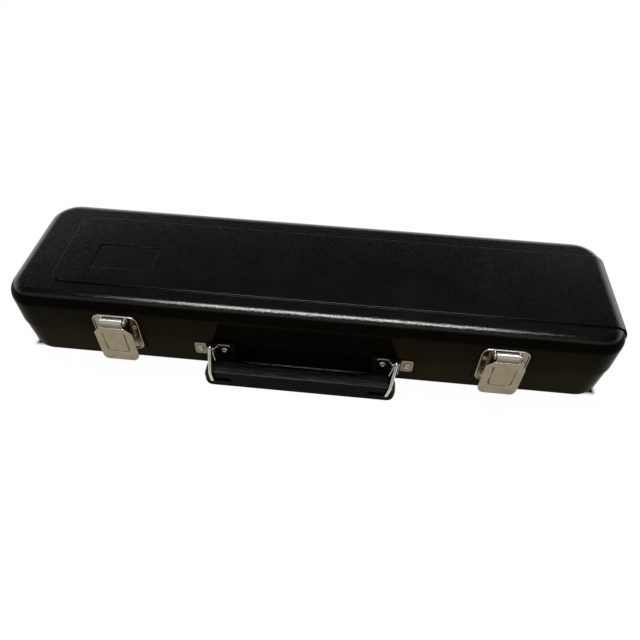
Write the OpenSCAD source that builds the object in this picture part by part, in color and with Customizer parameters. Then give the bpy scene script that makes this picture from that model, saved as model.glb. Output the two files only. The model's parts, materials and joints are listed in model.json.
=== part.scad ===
// Moulded flute case with a hinged lid, two front latches and a swinging handle.
// Frame: X runs along the case, -Y is the front, Z is up.
// The origin is the middle of the flat bottom of the base.

/* [Case body] */
// Length of the lid over its ends
case_length = 413; // [380:1:480]
// Depth of the lid from front to back
case_depth = 104.5; // [100:0.5:125]
// Height of the parting line above the table
base_height = 28; // [27:0.5:34]
// Height of the lid above the parting line
lid_height = 29.8; // [28:0.2:40]
// Radius of the upright corners, seen from above
corner_radius = 20.6; // [14:0.2:28]
// Radius along the top edge of the lid
top_edge_radius = 9.3; // [5:0.1:10]
// Radius along the bottom edge of the base
bottom_edge_radius = 6; // [5:0.1:8]
// How far the base draws in from the parting line to the table
base_draft = 1.9; // [0.5:0.1:3]
// How far the lid stands out past the base at the parting line
lid_overhang = 0.5; // [0.2:0.1:0.8]
// Thickness of the moulded shells
wall = 2.8; // [2.2:0.1:3.2]
// Open line between the lid and the base
parting_gap = 0.2; // [0.1:0.05:0.4]

/* [Lid face] */
// Height of the raised panel over the lid
panel_height = 1; // [0.5:0.1:1.5]
// Distance from the front of the lid to the panel
panel_front_margin = 17.4; // [14:0.2:24]
// Distance from the back of the lid to the panel
panel_back_margin = 18.8; // [14:0.2:24]
// Distance from the left end of the lid to the panel
panel_left_margin = 28.5; // [24:0.5:40]
// Radius of the panel's two left corners
panel_corner_radius = 9.5; // [4:0.5:12]
// Height above the parting line at which the panel ends on the right end wall
panel_end_height = 4; // [3:0.5:8]
// Length of the bare label recess
label_length = 43.3; // [30:0.5:60]
// Width of the bare label recess
label_width = 24; // [14:0.5:28]
// Depth of the bare label recess
label_depth = 0.5; // [0.3:0.1:0.8]
// Radius of the label recess's corners
label_corner_radius = 2; // [1:0.2:4]
// Distance from the left end of the lid to the label recess
label_left_margin = 51.3; // [48:0.5:80]
// Distance from the back of the lid to the label recess
label_back_margin = 47.6; // [40:0.5:56]

/* [Hand recess] */
// Middle of the hand recess, along the case
recess_middle = -2; // [-6:0.5:6]
// How far the recess reaches past the middles of the handle brackets at the parting line
recess_parting_margin = 0.4; // [0:0.1:2.5]
// How far each side of the recess leans in from the parting line to its top
recess_side_lean = 6.5; // [2:0.5:10]
// Height of the top of the recess above the table
recess_top_height = 49; // [44:0.5:50]
// Depth that the slope of the recess reaches at the table
recess_depth = 7.5; // [6:0.1:10]
// Distance of the recess in the base from the handle brackets
recess_bracket_margin = 2.5; // [1.5:0.5:6]

/* [Rim] */
// Thickness of the locating rim on the base
rim_thickness = 1.2; // [0.8:0.1:1.3]
// Height of the locating rim above the parting line
rim_height = 1.8; // [1:0.1:2.4]
// Clearance round the locating rim
rim_clearance = 0.3; // [0.2:0.05:0.4]

/* [Rear hinges] */
// Distance from each end of the lid to the middle of its rear hinge
hinge_end_margin = 86.5; // [70:0.5:120]
// Number of knuckles in one hinge, counted over both shells
hinge_knuckles = 5; // [3:2:7]
// Length of one knuckle
knuckle_length = 12; // [8:0.5:14]
// Gap between neighbouring knuckles
knuckle_gap = 0.4; // [0.3:0.05:0.6]
// Radius of a knuckle
knuckle_radius = 3; // [2.6:0.1:3.2]
// Distance of the hinge axis behind the back of the lid
hinge_offset = 3.4; // [3.4:0.1:4.4]
// Height of the web that carries a knuckle
hinge_web_height = 9; // [6:0.5:12]
// Radius of the steel hinge pins
hinge_pin_radius = 1.25; // [1:0.05:1.5]
// Radial running clearance of every pin
pin_clearance = 0.05; // [0.02:0.01:0.08]

/* [Latches] */
// Distance from each end of the lid to the middle of its latch
latch_end_margin = 77.2; // [60:0.1:90]
// Width of the keeper and catch plates
plate_width = 31; // [29:0.5:36]
// Height of the keeper plate's top edge above the table
keeper_top = 47.8; // [47.6:0.1:48.4]
// Height of the catch plate's lower edge above the table
catch_bottom = 16; // [14:0.2:17]
// Thickness of the plates
plate_thickness = 0.8; // [0.6:0.1:0.9]
// Radius of the plates' outer corners
plate_corner_radius = 5; // [2:0.2:5.4]
// Width of the raised rim round the plates
plate_rim_width = 1; // [0.8:0.1:1.2]
// Height of the raised rim over the wall
plate_rim_height = 1.6; // [1.2:0.1:1.8]
// Width of the lever
lever_width = 25.8; // [24:0.2:26.4]
// Thickness of the lever's sheet
lever_thickness = 1; // [0.8:0.1:1.1]
// Height of the upper edge of the lever's sheet above the table
lever_top = 43.3; // [43:0.1:43.6]
// Height of the fold where the finger lip starts
lip_fold = 15.7; // [15:0.1:17]
// Height of the finger lip
lip_height = 3.5; // [2.5:0.1:4]
// How far the finger lip flares outwards
lip_flare = 1.4; // [0.5:0.1:2]
// Radius of the lever's lower corners
lever_corner_radius = 4.2; // [1:0.2:4.6]
// Size of the cut-off upper corners of the lever
lever_shoulder_cut = 5; // [3:0.2:5.4]
// Width of the spring tongue in the lever, and of its knuckle
tongue_width = 14.2; // [12:0.2:15]
// Height of the tongue's lower edge above the table
tongue_bottom = 20; // [19.6:0.1:20.4]
// Width of the cut round the tongue
tongue_slot = 0.6; // [0.4:0.1:0.8]
// Radius of the tongue's lower corners
tongue_corner_radius = 2.4; // [1:0.2:3]
// Radius of the lever's knuckle
lever_knuckle_radius = 2.9; // [2.7:0.1:3]
// Distance of the lever's pin from the lid's front wall
lever_pin_out = 4.3; // [4.2:0.1:4.8]
// Height of the lever's pin above the table
lever_pin_height = 45; // [44.8:0.1:45.1]
// Radius of the lever's pin
lever_pin_radius = 1.25; // [1:0.05:1.4]
// Radius of the keeper's ears round the pin
ear_radius = 2.1; // [1.9:0.1:2.2]
// Thickness of the keeper's ears
ear_thickness = 1; // [0.8:0.1:1.2]
// Gap between the tongue's knuckle and each ear
ear_gap = 0.3; // [0.2:0.05:0.5]
// Width of the catch ledge
catch_width = 9; // [6:0.5:11]
// Reach of the catch ledge from the wall
catch_reach = 4.5; // [4:0.1:4.8]
// Height of the catch ledge's underside above the table
catch_height = 22; // [21.8:0.1:22.4]
// Thickness of the catch ledge and of the tongue's nib
catch_thickness = 0.9; // [0.8:0.1:1]
// Gap in front of the catch when the latch is closed but not pressed home
catch_gap = 0.35; // [0.3:0.05:0.5]

/* [Handle] */
// Middle of the handle, along the case
handle_middle = -4; // [-8:0.5:8]
// Length of the handle
handle_length = 132; // [128:1:140]
// Height of the handle's section
handle_height = 14.7; // [13:0.1:15.5]
// Depth of the handle's section
handle_depth = 10.5; // [9.5:0.1:11]
// Distance of the handle's back from the lid's front
handle_standoff = 4.7; // [4.5:0.1:5.5]
// Gap between the handle and the table
handle_lift = 0.3; // [0.2:0.1:0.6]
// Radius of the handle's ends, seen from the front
handle_end_radius = 6; // [3:0.2:6.5]
// Radius of the handle's upright corners, seen from above
handle_plan_radius = 3.5; // [1:0.2:4.5]
// Length of each slot in the handle
slot_length = 14; // [10:0.5:18]
// Height of each slot in the handle
slot_height = 4; // [3.6:0.1:4.4]
// Height of the slots' middle above the table
slot_middle = 7; // [6.5:0.1:7.5]
// Distance from each end of the handle to its link
link_end_margin = 6.5; // [5:0.1:7]
// Diameter of the links' wire
wire_diameter = 2.3; // [1.8:0.1:2.5]
// Clearance of a link in the slot's end
link_end_clearance = 0.6; // [0.4:0.1:1]
// Gap between a link and the handle's front and upper edge
link_gap = 0.6; // [0.6:0.05:1]
// Radius of the link's bends, on the wire's centre line
link_bend_radius = 3; // [2.2:0.1:3.2]

/* [Handle brackets] */
// Middle between the two brackets, along the case
bracket_centre = -2.7; // [-5:0.1:0]
// Distance between the middles of the two brackets
bracket_spacing = 125.2; // [121:0.2:129]
// Height of the bracket strap's middle above the table
bracket_height = 22; // [21:0.2:22.5]
// Width of the bracket over its two wings
bracket_length = 25; // [24:0.5:27]
// Height of the bracket's wings
bracket_wing_height = 11; // [10:0.2:11.4]
// Radius of the bracket's corners
bracket_corner_radius = 2.2; // [1:0.2:3]
// Height of the bridge that holds the link, under the bracket's upper edge
bridge_height = 2.6; // [2:0.1:2.8]
// Thickness of the bracket's strap
strap_thickness = 1; // [0.8:0.1:1.2]
// Length of the bridge's flat crest
bridge_crest = 3.8; // [3.6:0.1:4.4]
// Length of the bridge over both of its feet
bridge_length = 8; // [7.6:0.2:9]
// Distance of the middle of the bridge's strap from the wall
bridge_out = 4.5; // [4.5:0.1:5.5]
// Gap between the link's wire and the bridge
bridge_clearance = 0.4; // [0.3:0.05:0.5]

/* [Rivets] */
// Radius of the latch rivets' heads
latch_rivet_head_radius = 1.7; // [1.4:0.1:1.8]
// Radius of the bracket rivets' heads
bracket_rivet_head_radius = 2.3; // [1.8:0.1:2.4]
// Height of the rivet heads
rivet_head_height = 0.7; // [0.4:0.1:0.9]
// Radius of the rivet shanks
rivet_shank_radius = 1; // [0.8:0.05:1.2]
// Radial clearance of the rivet shanks in their holes
rivet_clearance = 0.05; // [0.03:0.01:0.1]
// Radius of the closed rivet tails inside the case
rivet_tail_radius = 1.5; // [1.3:0.1:1.6]
// Height of the closed rivet tails inside the case
rivet_tail_height = 0.8; // [0.5:0.1:1]
// Distance of the latch rivets from the latch's middle
latch_rivet_offset = 12.3; // [12:0.1:12.4]
// Height of the keeper rivets above the table
keeper_rivet_height = 38; // [34:0.5:39]
// Height of the catch plate rivets above the table
catch_rivet_height = 21; // [20:0.2:23]
// Distance of the bracket rivets from the bracket's middle
bracket_rivet_offset = 8.2; // [8.2:0.1:8.8]

/* [Lining] */
// Gap between the tray and the walls of the base
tray_gap = 1.6; // [1.2:0.1:2]
// Distance of the tray's face below the parting line
tray_drop = 1.5; // [1:0.1:3]
// Thickness of the tray under the wells
tray_floor = 3; // [2:0.1:4]
// Length of the well for the middle joint of the flute
body_well_length = 352; // [330:1:356]
// Width of the well for the middle joint of the flute
body_well_width = 39; // [30:0.5:40]
// Length of the well for the head joint
head_well_length = 230; // [215:1:232]
// Width of the well for the head joint
head_well_width = 27; // [24:0.5:29]
// Length of the well for the foot joint
foot_well_length = 136; // [110:1:137]
// Width of the well for the foot joint
foot_well_width = 33; // [26:0.5:34]
// Radius of the wells' corners
well_corner_radius = 5; // [3:0.2:8]
// Width of the lining between neighbouring wells
well_divider = 7; // [6:0.2:8]
// Distance of the front wells from the back well
well_row_gap = 6; // [5:0.2:7]
// Distance from the middle of the case to the back well
back_well_start = 1; // [0:0.2:2]
// Thickness of the lid's pad
pad_thickness = 9; // [5:0.5:12]
// Gap between the pad and the lid's rounded ceiling edge
pad_gap = 0.6; // [0.4:0.1:1.5]
// Radius of the pad's lower edge
pad_edge_radius = 4; // [2:0.2:5]

/* [Hidden] */
$fn = 64;

overrun = 1;
left = -1;
right = 1;
half_length = case_length / 2;
half_depth = case_depth / 2;
front = -half_depth;
total_height = base_height + lid_height;
lid_bottom = base_height + parting_gap;

// Slope of the base's walls above the bottom edge's bend
draft_slope = (base_draft - lid_overhang) / (base_height - bottom_edge_radius);

// Rear hinges and their axis
hinge_spacing = case_length - 2 * hinge_end_margin;
hinge_y = half_depth + hinge_offset;
hinge_z = base_height;
hinge_length = hinge_knuckles * knuckle_length;

// Tray and wells
tray_top = base_height - tray_drop;
well_floor = wall + tray_floor;
front_row_back = back_well_start - well_row_gap;
front_row_length = head_well_length + well_divider + foot_well_length;
head_well_x = -front_row_length / 2 + head_well_length / 2;
foot_well_x = front_row_length / 2 - foot_well_length / 2;

// Latches, and the lower edge of the lever's finger lip
latch_spacing = case_length - 2 * latch_end_margin;
lip_bottom = lip_fold - lip_height;

// Handle and links
handle_back = front - handle_standoff;
handle_front = handle_back - handle_depth;
handle_top = handle_lift + handle_height;
link_spacing = handle_length - 2 * link_end_margin;
wire_radius = wire_diameter / 2;
bridge_y = front - bridge_out;
bridge_z = bracket_height + (bracket_wing_height - bridge_height) / 2;
// Centre line of the link's upper bend, which turns round the bridge's strap
bridge_reach = norm([bridge_height, strap_thickness]) / 2;
link_top_radius = bridge_reach + bridge_clearance + wire_radius;
link_front = handle_front - link_gap - wire_radius;
link_back = bridge_y + link_top_radius;
// The strand slants over the handle's upper edge, so its corner sits half a wire's radius lower
link_shoulder = handle_top + link_gap + wire_radius / 2;

// Widths of the hand recess
recess_parting_width = bracket_spacing + 2 * recess_parting_margin;
recess_top_width = recess_parting_width - 2 * recess_side_lean;
recess_base_width = bracket_spacing - bracket_length - 2 * recess_bracket_margin;

// Outline of the base's wall from the middle plane outwards, drawn in by inset
module base_profile(reach, inset, top) {
    bend = bottom_edge_radius - inset;
    bend_x = reach - base_draft - bottom_edge_radius;
    rim_x = reach - lid_overhang - inset;
    polygon(concat([
        [0, inset],
        [bend_x, inset],
        [bend_x, bottom_edge_radius],
        [bend_x + bend, bottom_edge_radius],
        [rim_x, base_height]
    ], top > base_height ? [[rim_x, top]] : [], [[0, top]]));
    translate([bend_x, bottom_edge_radius])
        intersection() {
            circle(r = bend);
            translate([0, -bend])
                square([bend, bend]);
        }
}

// Outline of the lid's wall from the middle plane outwards, drawn in by inset
module lid_profile(reach, inset, bottom) {
    bend = top_edge_radius - inset;
    bend_x = reach - top_edge_radius;
    bend_z = total_height - top_edge_radius;
    translate([0, bottom])
        square([reach - inset, bend_z - bottom]);
    translate([0, bottom])
        square([bend_x, total_height - inset - bottom]);
    translate([bend_x, bend_z])
        circle(r = bend);
}

// Sweeps three half outlines round the case: corner, long side and end
module round_the_case() {
    straight_x = half_length - corner_radius;
    straight_y = half_depth - corner_radius;
    for (quarter = [0:3]) {
        side_x = quarter == 0 || quarter == 3 ? right : left;
        side_y = quarter < 2 ? right : left;
        translate([side_x * straight_x, side_y * straight_y, 0])
            rotate([0, 0, 90 * quarter])
                rotate_extrude(angle = 90)
                    children(0);
    }
    for (turn = [0, 180]) {
        rotate([0, 0, turn])
            rotate([90, 0, 90])
                linear_extrude(height = 2 * straight_x, center = true)
                    children(1);
        rotate([0, 0, turn])
            rotate([90, 0, 0])
                linear_extrude(height = 2 * straight_y, center = true)
                    children(2);
    }
}

// Base filled up to the parting line or past it, drawn in by inset, and by shrink at its sides
module base_solid(inset, top, shrink = 0) {
    round_the_case() {
        base_profile(corner_radius - shrink, inset, top);
        base_profile(half_depth - shrink, inset, top);
        base_profile(half_length - shrink, inset, top);
    }
}

module lid_solid(inset, bottom) {
    round_the_case() {
        lid_profile(corner_radius, inset, bottom);
        lid_profile(half_depth, inset, bottom);
        lid_profile(half_length, inset, bottom);
    }
}

// Rounded rectangle in true arcs
module rounded_rectangle(size, radius) {
    square([size.x - 2 * radius, size.y], center = true);
    square([size.x, size.y - 2 * radius], center = true);
    for (side_x = [left, right])
        for (side_y = [left, right])
            translate([side_x * (size.x / 2 - radius), side_y * (size.y / 2 - radius)])
                circle(r = radius);
}

// Upright ring that follows the case's walls, from one inset to a smaller one
module wall_ring(inner_inset, outer_inset, bottom, top) {
    difference() {
        translate([0, 0, bottom])
            linear_extrude(height = top - bottom)
                rounded_rectangle([case_length - 2 * outer_inset, case_depth - 2 * outer_inset],
                    corner_radius - outer_inset);
        translate([0, 0, bottom - overrun])
            linear_extrude(height = top - bottom + 2 * overrun)
                rounded_rectangle([case_length - 2 * inner_inset, case_depth - 2 * inner_inset],
                    corner_radius - inner_inset);
    }
}

// Space of the hand recess, grown by margin on every side but the front
module hand_recess(width_low, width_high, low, high, margin) {
    level_top = recess_top_height + margin;
    intersection() {
        translate([recess_middle, front - overrun, 0])
            rotate([90, 0, 180])
                linear_extrude(height = recess_depth + wall + margin + overrun)
                    polygon([
                        [-width_low / 2 - margin, low],
                        [width_low / 2 + margin, low],
                        [width_high / 2 + margin, high],
                        [-width_high / 2 - margin, high]
                    ]);
        translate([recess_middle, 0, 0])
            rotate([90, 0, 90])
                linear_extrude(height = case_length / 2, center = true)
                    polygon([
                        [front - 2 * overrun, low - overrun],
                        [front + recess_depth + margin, 0],
                        [front, level_top],
                        [front - 2 * overrun, level_top]
                    ]);
    }
}

module lid_recess(margin) {
    hand_recess(recess_parting_width, recess_top_width, base_height, recess_top_height, margin);
}

module base_recess(margin) {
    translate([bracket_centre - recess_middle, 0, 0])
        hand_recess(recess_base_width, recess_base_width, -overrun, recess_top_height, margin);
}

// One shell's knuckles of one rear hinge, first = 0 for the base and 1 for the lid
module hinge_knuckle_row(first) {
    fit = hinge_pin_radius + pin_clearance;
    web_side = first == 0 ? left : right;
    web_start = first == 0 ? base_height : lid_bottom;
    web_end = hinge_z + web_side * hinge_web_height;
    for (index = [first:2:hinge_knuckles - 1])
        translate([-hinge_length / 2 + index * knuckle_length + knuckle_gap / 2, 0, 0])
            rotate([90, 0, 90])
                linear_extrude(height = knuckle_length - knuckle_gap)
                    difference() {
                        union() {
                            translate([hinge_y, hinge_z])
                                circle(r = knuckle_radius);
                            polygon([
                                [half_depth - wall / 2, web_start],
                                [hinge_y, web_start],
                                [hinge_y, hinge_z + web_side * knuckle_radius],
                                [half_depth - wall / 2, web_end]
                            ]);
                        }
                        translate([hinge_y, hinge_z])
                            circle(r = fit);
                    }
}

module both_hinges() {
    for (side = [left, right])
        translate([side * hinge_spacing / 2, 0, 0])
            children();
}

// Places of the brackets and of the slots' links, and the links' lean from one to the other
function bracket_x(side) = bracket_centre + side * bracket_spacing / 2;
function link_x(side) = handle_middle + side * link_spacing / 2;
function link_lean(side) = atan((bracket_x(side) - link_x(side)) / (bridge_z - slot_middle));

// Places that the rivets go through, as [along the case, height]
latch_middles = [left * latch_spacing / 2, right * latch_spacing / 2];
bracket_middles = [bracket_x(left), bracket_x(right)];
keeper_rivet_places = [for (middle = latch_middles) for (side = [left, right])
    [middle + side * latch_rivet_offset, keeper_rivet_height]];
catch_rivet_places = [for (middle = latch_middles) for (side = [left, right])
    [middle + side * latch_rivet_offset, catch_rivet_height]];
bracket_rivet_places = [for (middle = bracket_middles) for (side = [left, right])
    [middle + side * bracket_rivet_offset, bracket_height]];

// Depth of the base's inner face behind the lid's front, at a height
function base_inner_face(height) = base_draft - draft_slope * (height - bottom_edge_radius) + wall;

module rivet_hole(place) {
    translate([place.x, front + wall + base_draft + overrun, place.y])
        rotate([90, 0, 0])
            cylinder(r = rivet_shank_radius + rivet_clearance, h = 2 * wall + base_draft + 2 * overrun);
}

// Rivet with a domed head on a plate and a closed tail inside the case
module rivet(place, plate, inner_face, head_radius) {
    dome_radius = (head_radius * head_radius + rivet_head_height * rivet_head_height)
        / (2 * rivet_head_height);
    tail = inner_face + draft_slope * rivet_tail_radius;
    translate([place.x, front - plate, place.y])
        rotate([90, 0, 0])
            rotate_extrude() {
                intersection() {
                    translate([0, rivet_head_height - dome_radius])
                        circle(r = dome_radius);
                    square([head_radius, rivet_head_height]);
                }
                translate([0, -plate - tail])
                    square([rivet_shank_radius, plate + tail]);
                translate([0, -plate - tail - rivet_tail_height])
                    square([rivet_tail_radius, rivet_tail_height]);
            }
}

// Flat seats that the catch plates and handle brackets stand on
module base_seats() {
    seat_top = base_height;
    latch_seat = plate_width + 2 * plate_rim_width;
    bracket_seat = bracket_length + 2 * strap_thickness;
    bracket_seat_bottom = bracket_height - bracket_wing_height / 2 - strap_thickness;
    for (middle = latch_middles)
        translate([middle - latch_seat / 2, front, catch_bottom - plate_rim_width])
            cube([latch_seat, wall, seat_top - catch_bottom + plate_rim_width]);
    for (middle = bracket_middles)
        translate([middle - bracket_seat / 2, front, bracket_seat_bottom])
            cube([bracket_seat, wall, seat_top - bracket_seat_bottom]);
}

module base_shell() {
    color("#161412")
        difference() {
            union() {
                difference() {
                    base_solid(0, base_height);
                    base_solid(wall, base_height + overrun);
                }
                intersection() {
                    base_solid(0, base_height);
                    base_recess(wall);
                }
                base_seats();
                difference() {
                    wall_ring(wall, wall - rim_thickness, base_height - wall, base_height + rim_height);
                    rim_breaks(0);
                }
                both_hinges()
                    hinge_knuckle_row(0);
            }
            base_recess(0);
            for (place = concat(catch_rivet_places, bracket_rivet_places))
                rivet_hole(place);
        }
}

// Stretches of the wall that carry no locating rim: the hand recess and the hinges
module rim_breaks(margin) {
    recess_break = recess_parting_width + 4 * wall - 2 * margin;
    hinge_break = hinge_length - 2 * margin;
    translate([recess_middle - recess_break / 2, front - overrun, base_height])
        cube([recess_break, corner_radius, rim_height + overrun]);
    both_hinges()
        translate([-hinge_break / 2, half_depth - corner_radius, base_height])
            cube([hinge_break, corner_radius + overrun, rim_height + overrun]);
}

// Raised panel that runs over the right end
module raised_panel() {
    panel_left = -half_length + panel_left_margin;
    panel_front = front + panel_front_margin;
    panel_back = half_depth - panel_back_margin;
    panel_end = half_length + panel_height + overrun;
    grow = panel_height;
    intersection() {
        round_the_case() {
            lid_profile(corner_radius, -grow, base_height + panel_end_height);
            lid_profile(half_depth, -grow, base_height + panel_end_height);
            lid_profile(half_length, -grow, base_height + panel_end_height);
        }
        linear_extrude(height = total_height + grow + overrun) {
            translate([panel_left + panel_corner_radius, panel_front])
                square([panel_end - panel_left - panel_corner_radius, panel_back - panel_front]);
            translate([panel_left, panel_front + panel_corner_radius])
                square([2 * panel_corner_radius, panel_back - panel_front - 2 * panel_corner_radius]);
            for (corner_y = [panel_front + panel_corner_radius, panel_back - panel_corner_radius])
                translate([panel_left + panel_corner_radius, corner_y])
                    circle(r = panel_corner_radius);
        }
    }
}

module label_recess() {
    label_x = -half_length + label_left_margin + label_length / 2;
    label_y = half_depth - label_back_margin - label_width / 2;
    translate([label_x, label_y, total_height + panel_height - label_depth])
        linear_extrude(height = label_depth + overrun)
            rounded_rectangle([label_length, label_width], label_corner_radius);
}

module lid_shell() {
    color("#161412")
        difference() {
            union() {
                difference() {
                    union() {
                        lid_solid(0, lid_bottom);
                        raised_panel();
                    }
                    lid_solid(wall, lid_bottom - overrun);
                }
                intersection() {
                    lid_solid(0, lid_bottom);
                    lid_recess(wall);
                }
                both_hinges()
                    hinge_knuckle_row(1);
            }
            lid_recess(0);
            label_recess();
            difference() {
                wall_ring(wall + overrun, wall - rim_thickness - rim_clearance, base_height,
                    base_height + rim_height + rim_clearance);
                rim_breaks(rim_clearance);
            }
            for (place = keeper_rivet_places)
                rivet_hole(place);
        }
}

module hinge_pin(side) {
    color("#9a9a98")
        translate([side * hinge_spacing / 2, hinge_y, hinge_z])
            rotate([0, 90, 0])
                cylinder(r = hinge_pin_radius, h = hinge_length - knuckle_gap, center = true);
}

// Moulded plush tray that fills the base
module base_tray() {
    color("#2c2f4c")
        difference() {
            base_tray_block();
            well(0, back_well_start + body_well_width / 2, body_well_length, body_well_width);
            well(head_well_x, front_row_back - head_well_width / 2, head_well_length, head_well_width);
            well(foot_well_x, front_row_back - foot_well_width / 2, foot_well_length, foot_well_width);
            base_recess(wall + tray_gap);
        }
}

module base_tray_block() {
    intersection() {
        base_solid(wall, base_height, tray_gap);
        linear_extrude(height = tray_top)
            rounded_rectangle([case_length - 2 * wall - 2 * tray_gap, case_depth - 2 * wall - 2 * tray_gap],
                corner_radius - wall - tray_gap);
    }
}

module well(x, y, length, width) {
    translate([x, y, well_floor])
        linear_extrude(height = tray_top)
            rounded_rectangle([length, width], well_corner_radius);
}

// Plush pad on the lid's ceiling
module lid_pad() {
    ceiling = total_height - wall;
    inset = top_edge_radius + pad_gap;
    size = [case_length - 2 * inset, case_depth - 2 * inset];
    color("#2c2f4c") {
        translate([0, 0, ceiling - pad_thickness + pad_edge_radius])
            linear_extrude(height = pad_thickness - pad_edge_radius)
                rounded_rectangle(size, corner_radius - inset);
        translate([0, 0, ceiling - pad_thickness])
            linear_extrude(height = pad_edge_radius)
                rounded_rectangle([size.x - pad_edge_radius, size.y - pad_edge_radius],
                    corner_radius - inset - pad_edge_radius / 2);
    }
}

// Pressed plate with a rim on three sides, in the wall's plane
module rimmed_plate(bottom, top, open_side) {
    radius = plate_corner_radius;
    grow = open_side == left ? [radius, 0] : [0, radius];
    height = top - bottom + radius;
    middle = (top + bottom + grow.y - grow.x) / 2;
    intersection() {
        rotate([90, 0, 0])
            difference() {
                linear_extrude(height = plate_rim_height)
                    translate([0, middle])
                        rounded_rectangle([plate_width, height], radius);
                translate([0, 0, plate_thickness])
                    linear_extrude(height = plate_rim_height)
                        translate([0, middle])
                            rounded_rectangle([plate_width - 2 * plate_rim_width,
                                height - 2 * plate_rim_width], radius - plate_rim_width);
            }
        translate([-plate_width / 2 - overrun, -plate_rim_height - overrun, bottom])
            cube([plate_width + 2 * overrun, plate_rim_height + 2 * overrun, top - bottom]);
    }
}

module plate_rivet_holes(height) {
    for (side = [left, right])
        translate([side * latch_rivet_offset, overrun, height])
            rotate([90, 0, 0])
                cylinder(r = rivet_shank_radius + rivet_clearance, h = plate_thickness + 2 * overrun);
}

// Plate on the lid with two ears for the lever's pin
module keeper_plate(side) {
    ear_inner = tongue_width / 2 + ear_gap;
    color("#b9b4a8")
        translate([side * latch_spacing / 2, front, 0]) {
            difference() {
                rimmed_plate(lid_bottom, keeper_top, left);
                plate_rivet_holes(keeper_rivet_height);
            }
            for (ear_x = [-ear_inner - ear_thickness, ear_inner])
                translate([ear_x, 0, 0])
                    rotate([90, 0, 90])
                        linear_extrude(height = ear_thickness)
                            difference() {
                                union() {
                                    translate([-lever_pin_out, lever_pin_height])
                                        circle(r = ear_radius);
                                    translate([-lever_pin_out, lever_pin_height - ear_radius])
                                        square([lever_pin_out - plate_thickness / 2, 2 * ear_radius]);
                                }
                                translate([-lever_pin_out, lever_pin_height])
                                    circle(r = lever_pin_radius + pin_clearance);
                            }
        }
}

// Plate on the base with the ledge that the lever's tongue snaps under
module catch_plate(side) {
    color("#b9b4a8")
        translate([side * latch_spacing / 2, front, 0]) {
            difference() {
                rimmed_plate(catch_bottom, base_height, right);
                plate_rivet_holes(catch_rivet_height);
            }
            translate([-catch_width / 2, -catch_reach, catch_height])
                cube([catch_width, catch_reach - plate_thickness / 2, catch_thickness]);
            for (cheek_x = [-catch_width / 2, catch_width / 2 - catch_thickness])
                translate([cheek_x, 0, 0])
                    rotate([90, 0, 90])
                        linear_extrude(height = catch_thickness)
                            polygon([
                                [-plate_thickness / 2, catch_height],
                                [-catch_reach, catch_height],
                                [-catch_reach, catch_height + catch_thickness],
                                [-plate_thickness / 2, catch_height + catch_reach]
                            ]);
        }
}

// Front outline of the lever, with its slot round the tongue
module lever_outline() {
    half_width = lever_width / 2;
    shoulder = lever_top - lever_shoulder_cut;
    difference() {
        union() {
            polygon([
                [-half_width, lip_bottom + lever_corner_radius],
                [half_width, lip_bottom + lever_corner_radius],
                [half_width, shoulder],
                [half_width - lever_shoulder_cut, lever_top],
                [-half_width + lever_shoulder_cut, lever_top],
                [-half_width, shoulder]
            ]);
            translate([-half_width + lever_corner_radius, lip_bottom])
                square([lever_width - 2 * lever_corner_radius, 2 * lever_corner_radius]);
            for (side = [left, right])
                translate([side * (half_width - lever_corner_radius), lip_bottom + lever_corner_radius])
                    circle(r = lever_corner_radius);
        }
        difference() {
            tongue_shape(tongue_width / 2 + tongue_slot, tongue_bottom - tongue_slot,
                tongue_corner_radius + tongue_slot, shoulder);
            tongue_shape(tongue_width / 2, tongue_bottom, tongue_corner_radius, shoulder + overrun);
        }
    }
}

module tongue_shape(half_width, bottom, radius, top) {
    translate([-half_width, bottom + radius])
        square([2 * half_width, top - bottom - radius]);
    translate([-half_width + radius, bottom])
        square([2 * (half_width - radius), 2 * radius]);
    for (side = [left, right])
        translate([side * (half_width - radius), bottom + radius])
            circle(r = radius);
}

// Section of the web between the lever's knuckle and the upper edge of its sheet
module knuckle_web(reach) {
    polygon([
        [-reach, lever_top - lever_thickness / 2],
        [-reach, lever_top - lever_knuckle_radius],
        [-lever_pin_out, lever_pin_height - (lever_pin_radius + lever_knuckle_radius) / 2],
        [-lever_pin_out, lever_pin_height]
    ]);
}

// Lever that hangs from the keeper's pin, with the tongue whose nib snaps under the catch
module latch_lever(side) {
    inner = lever_pin_out + lever_knuckle_radius;
    face = inner + lever_thickness;
    nib_end = catch_reach + catch_gap;
    color("#c7c0ae")
        translate([side * latch_spacing / 2, front, 0]) {
            intersection() {
                rotate([90, 0, 90])
                    linear_extrude(height = lever_width + 2 * overrun, center = true)
                        polygon([
                            [-face, lever_top + overrun],
                            [-face, lip_fold],
                            [-face - lip_flare, lip_bottom],
                            [-inner - lip_flare, lip_bottom],
                            [-inner, lip_fold],
                            [-inner, lever_top + overrun]
                        ]);
                rotate([90, 0, 0])
                    linear_extrude(height = face + lip_flare + overrun)
                        lever_outline();
            }
            rotate([90, 0, 90])
                linear_extrude(height = tongue_width, center = true)
                    difference() {
                        union() {
                            translate([-lever_pin_out, lever_pin_height])
                                circle(r = lever_knuckle_radius);
                            knuckle_web(inner + lever_thickness / 2);
                        }
                        translate([-lever_pin_out, lever_pin_height])
                            circle(r = lever_pin_radius + pin_clearance);
                    }
            translate([-catch_width / 2, -inner - lever_thickness / 2, tongue_bottom])
                cube([catch_width, inner + lever_thickness / 2 - nib_end, catch_thickness]);
        }
}

// Steel pin whose ends stand out of the ears by the ears' gap
module lever_pin(side) {
    length = tongue_width + 2 * ear_gap + 2 * ear_thickness + 2 * ear_gap;
    color("#9a9a98")
        translate([side * latch_spacing / 2, front - lever_pin_out, lever_pin_height])
            rotate([0, 90, 0])
                cylinder(r = lever_pin_radius, h = length, center = true);
}

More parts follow.
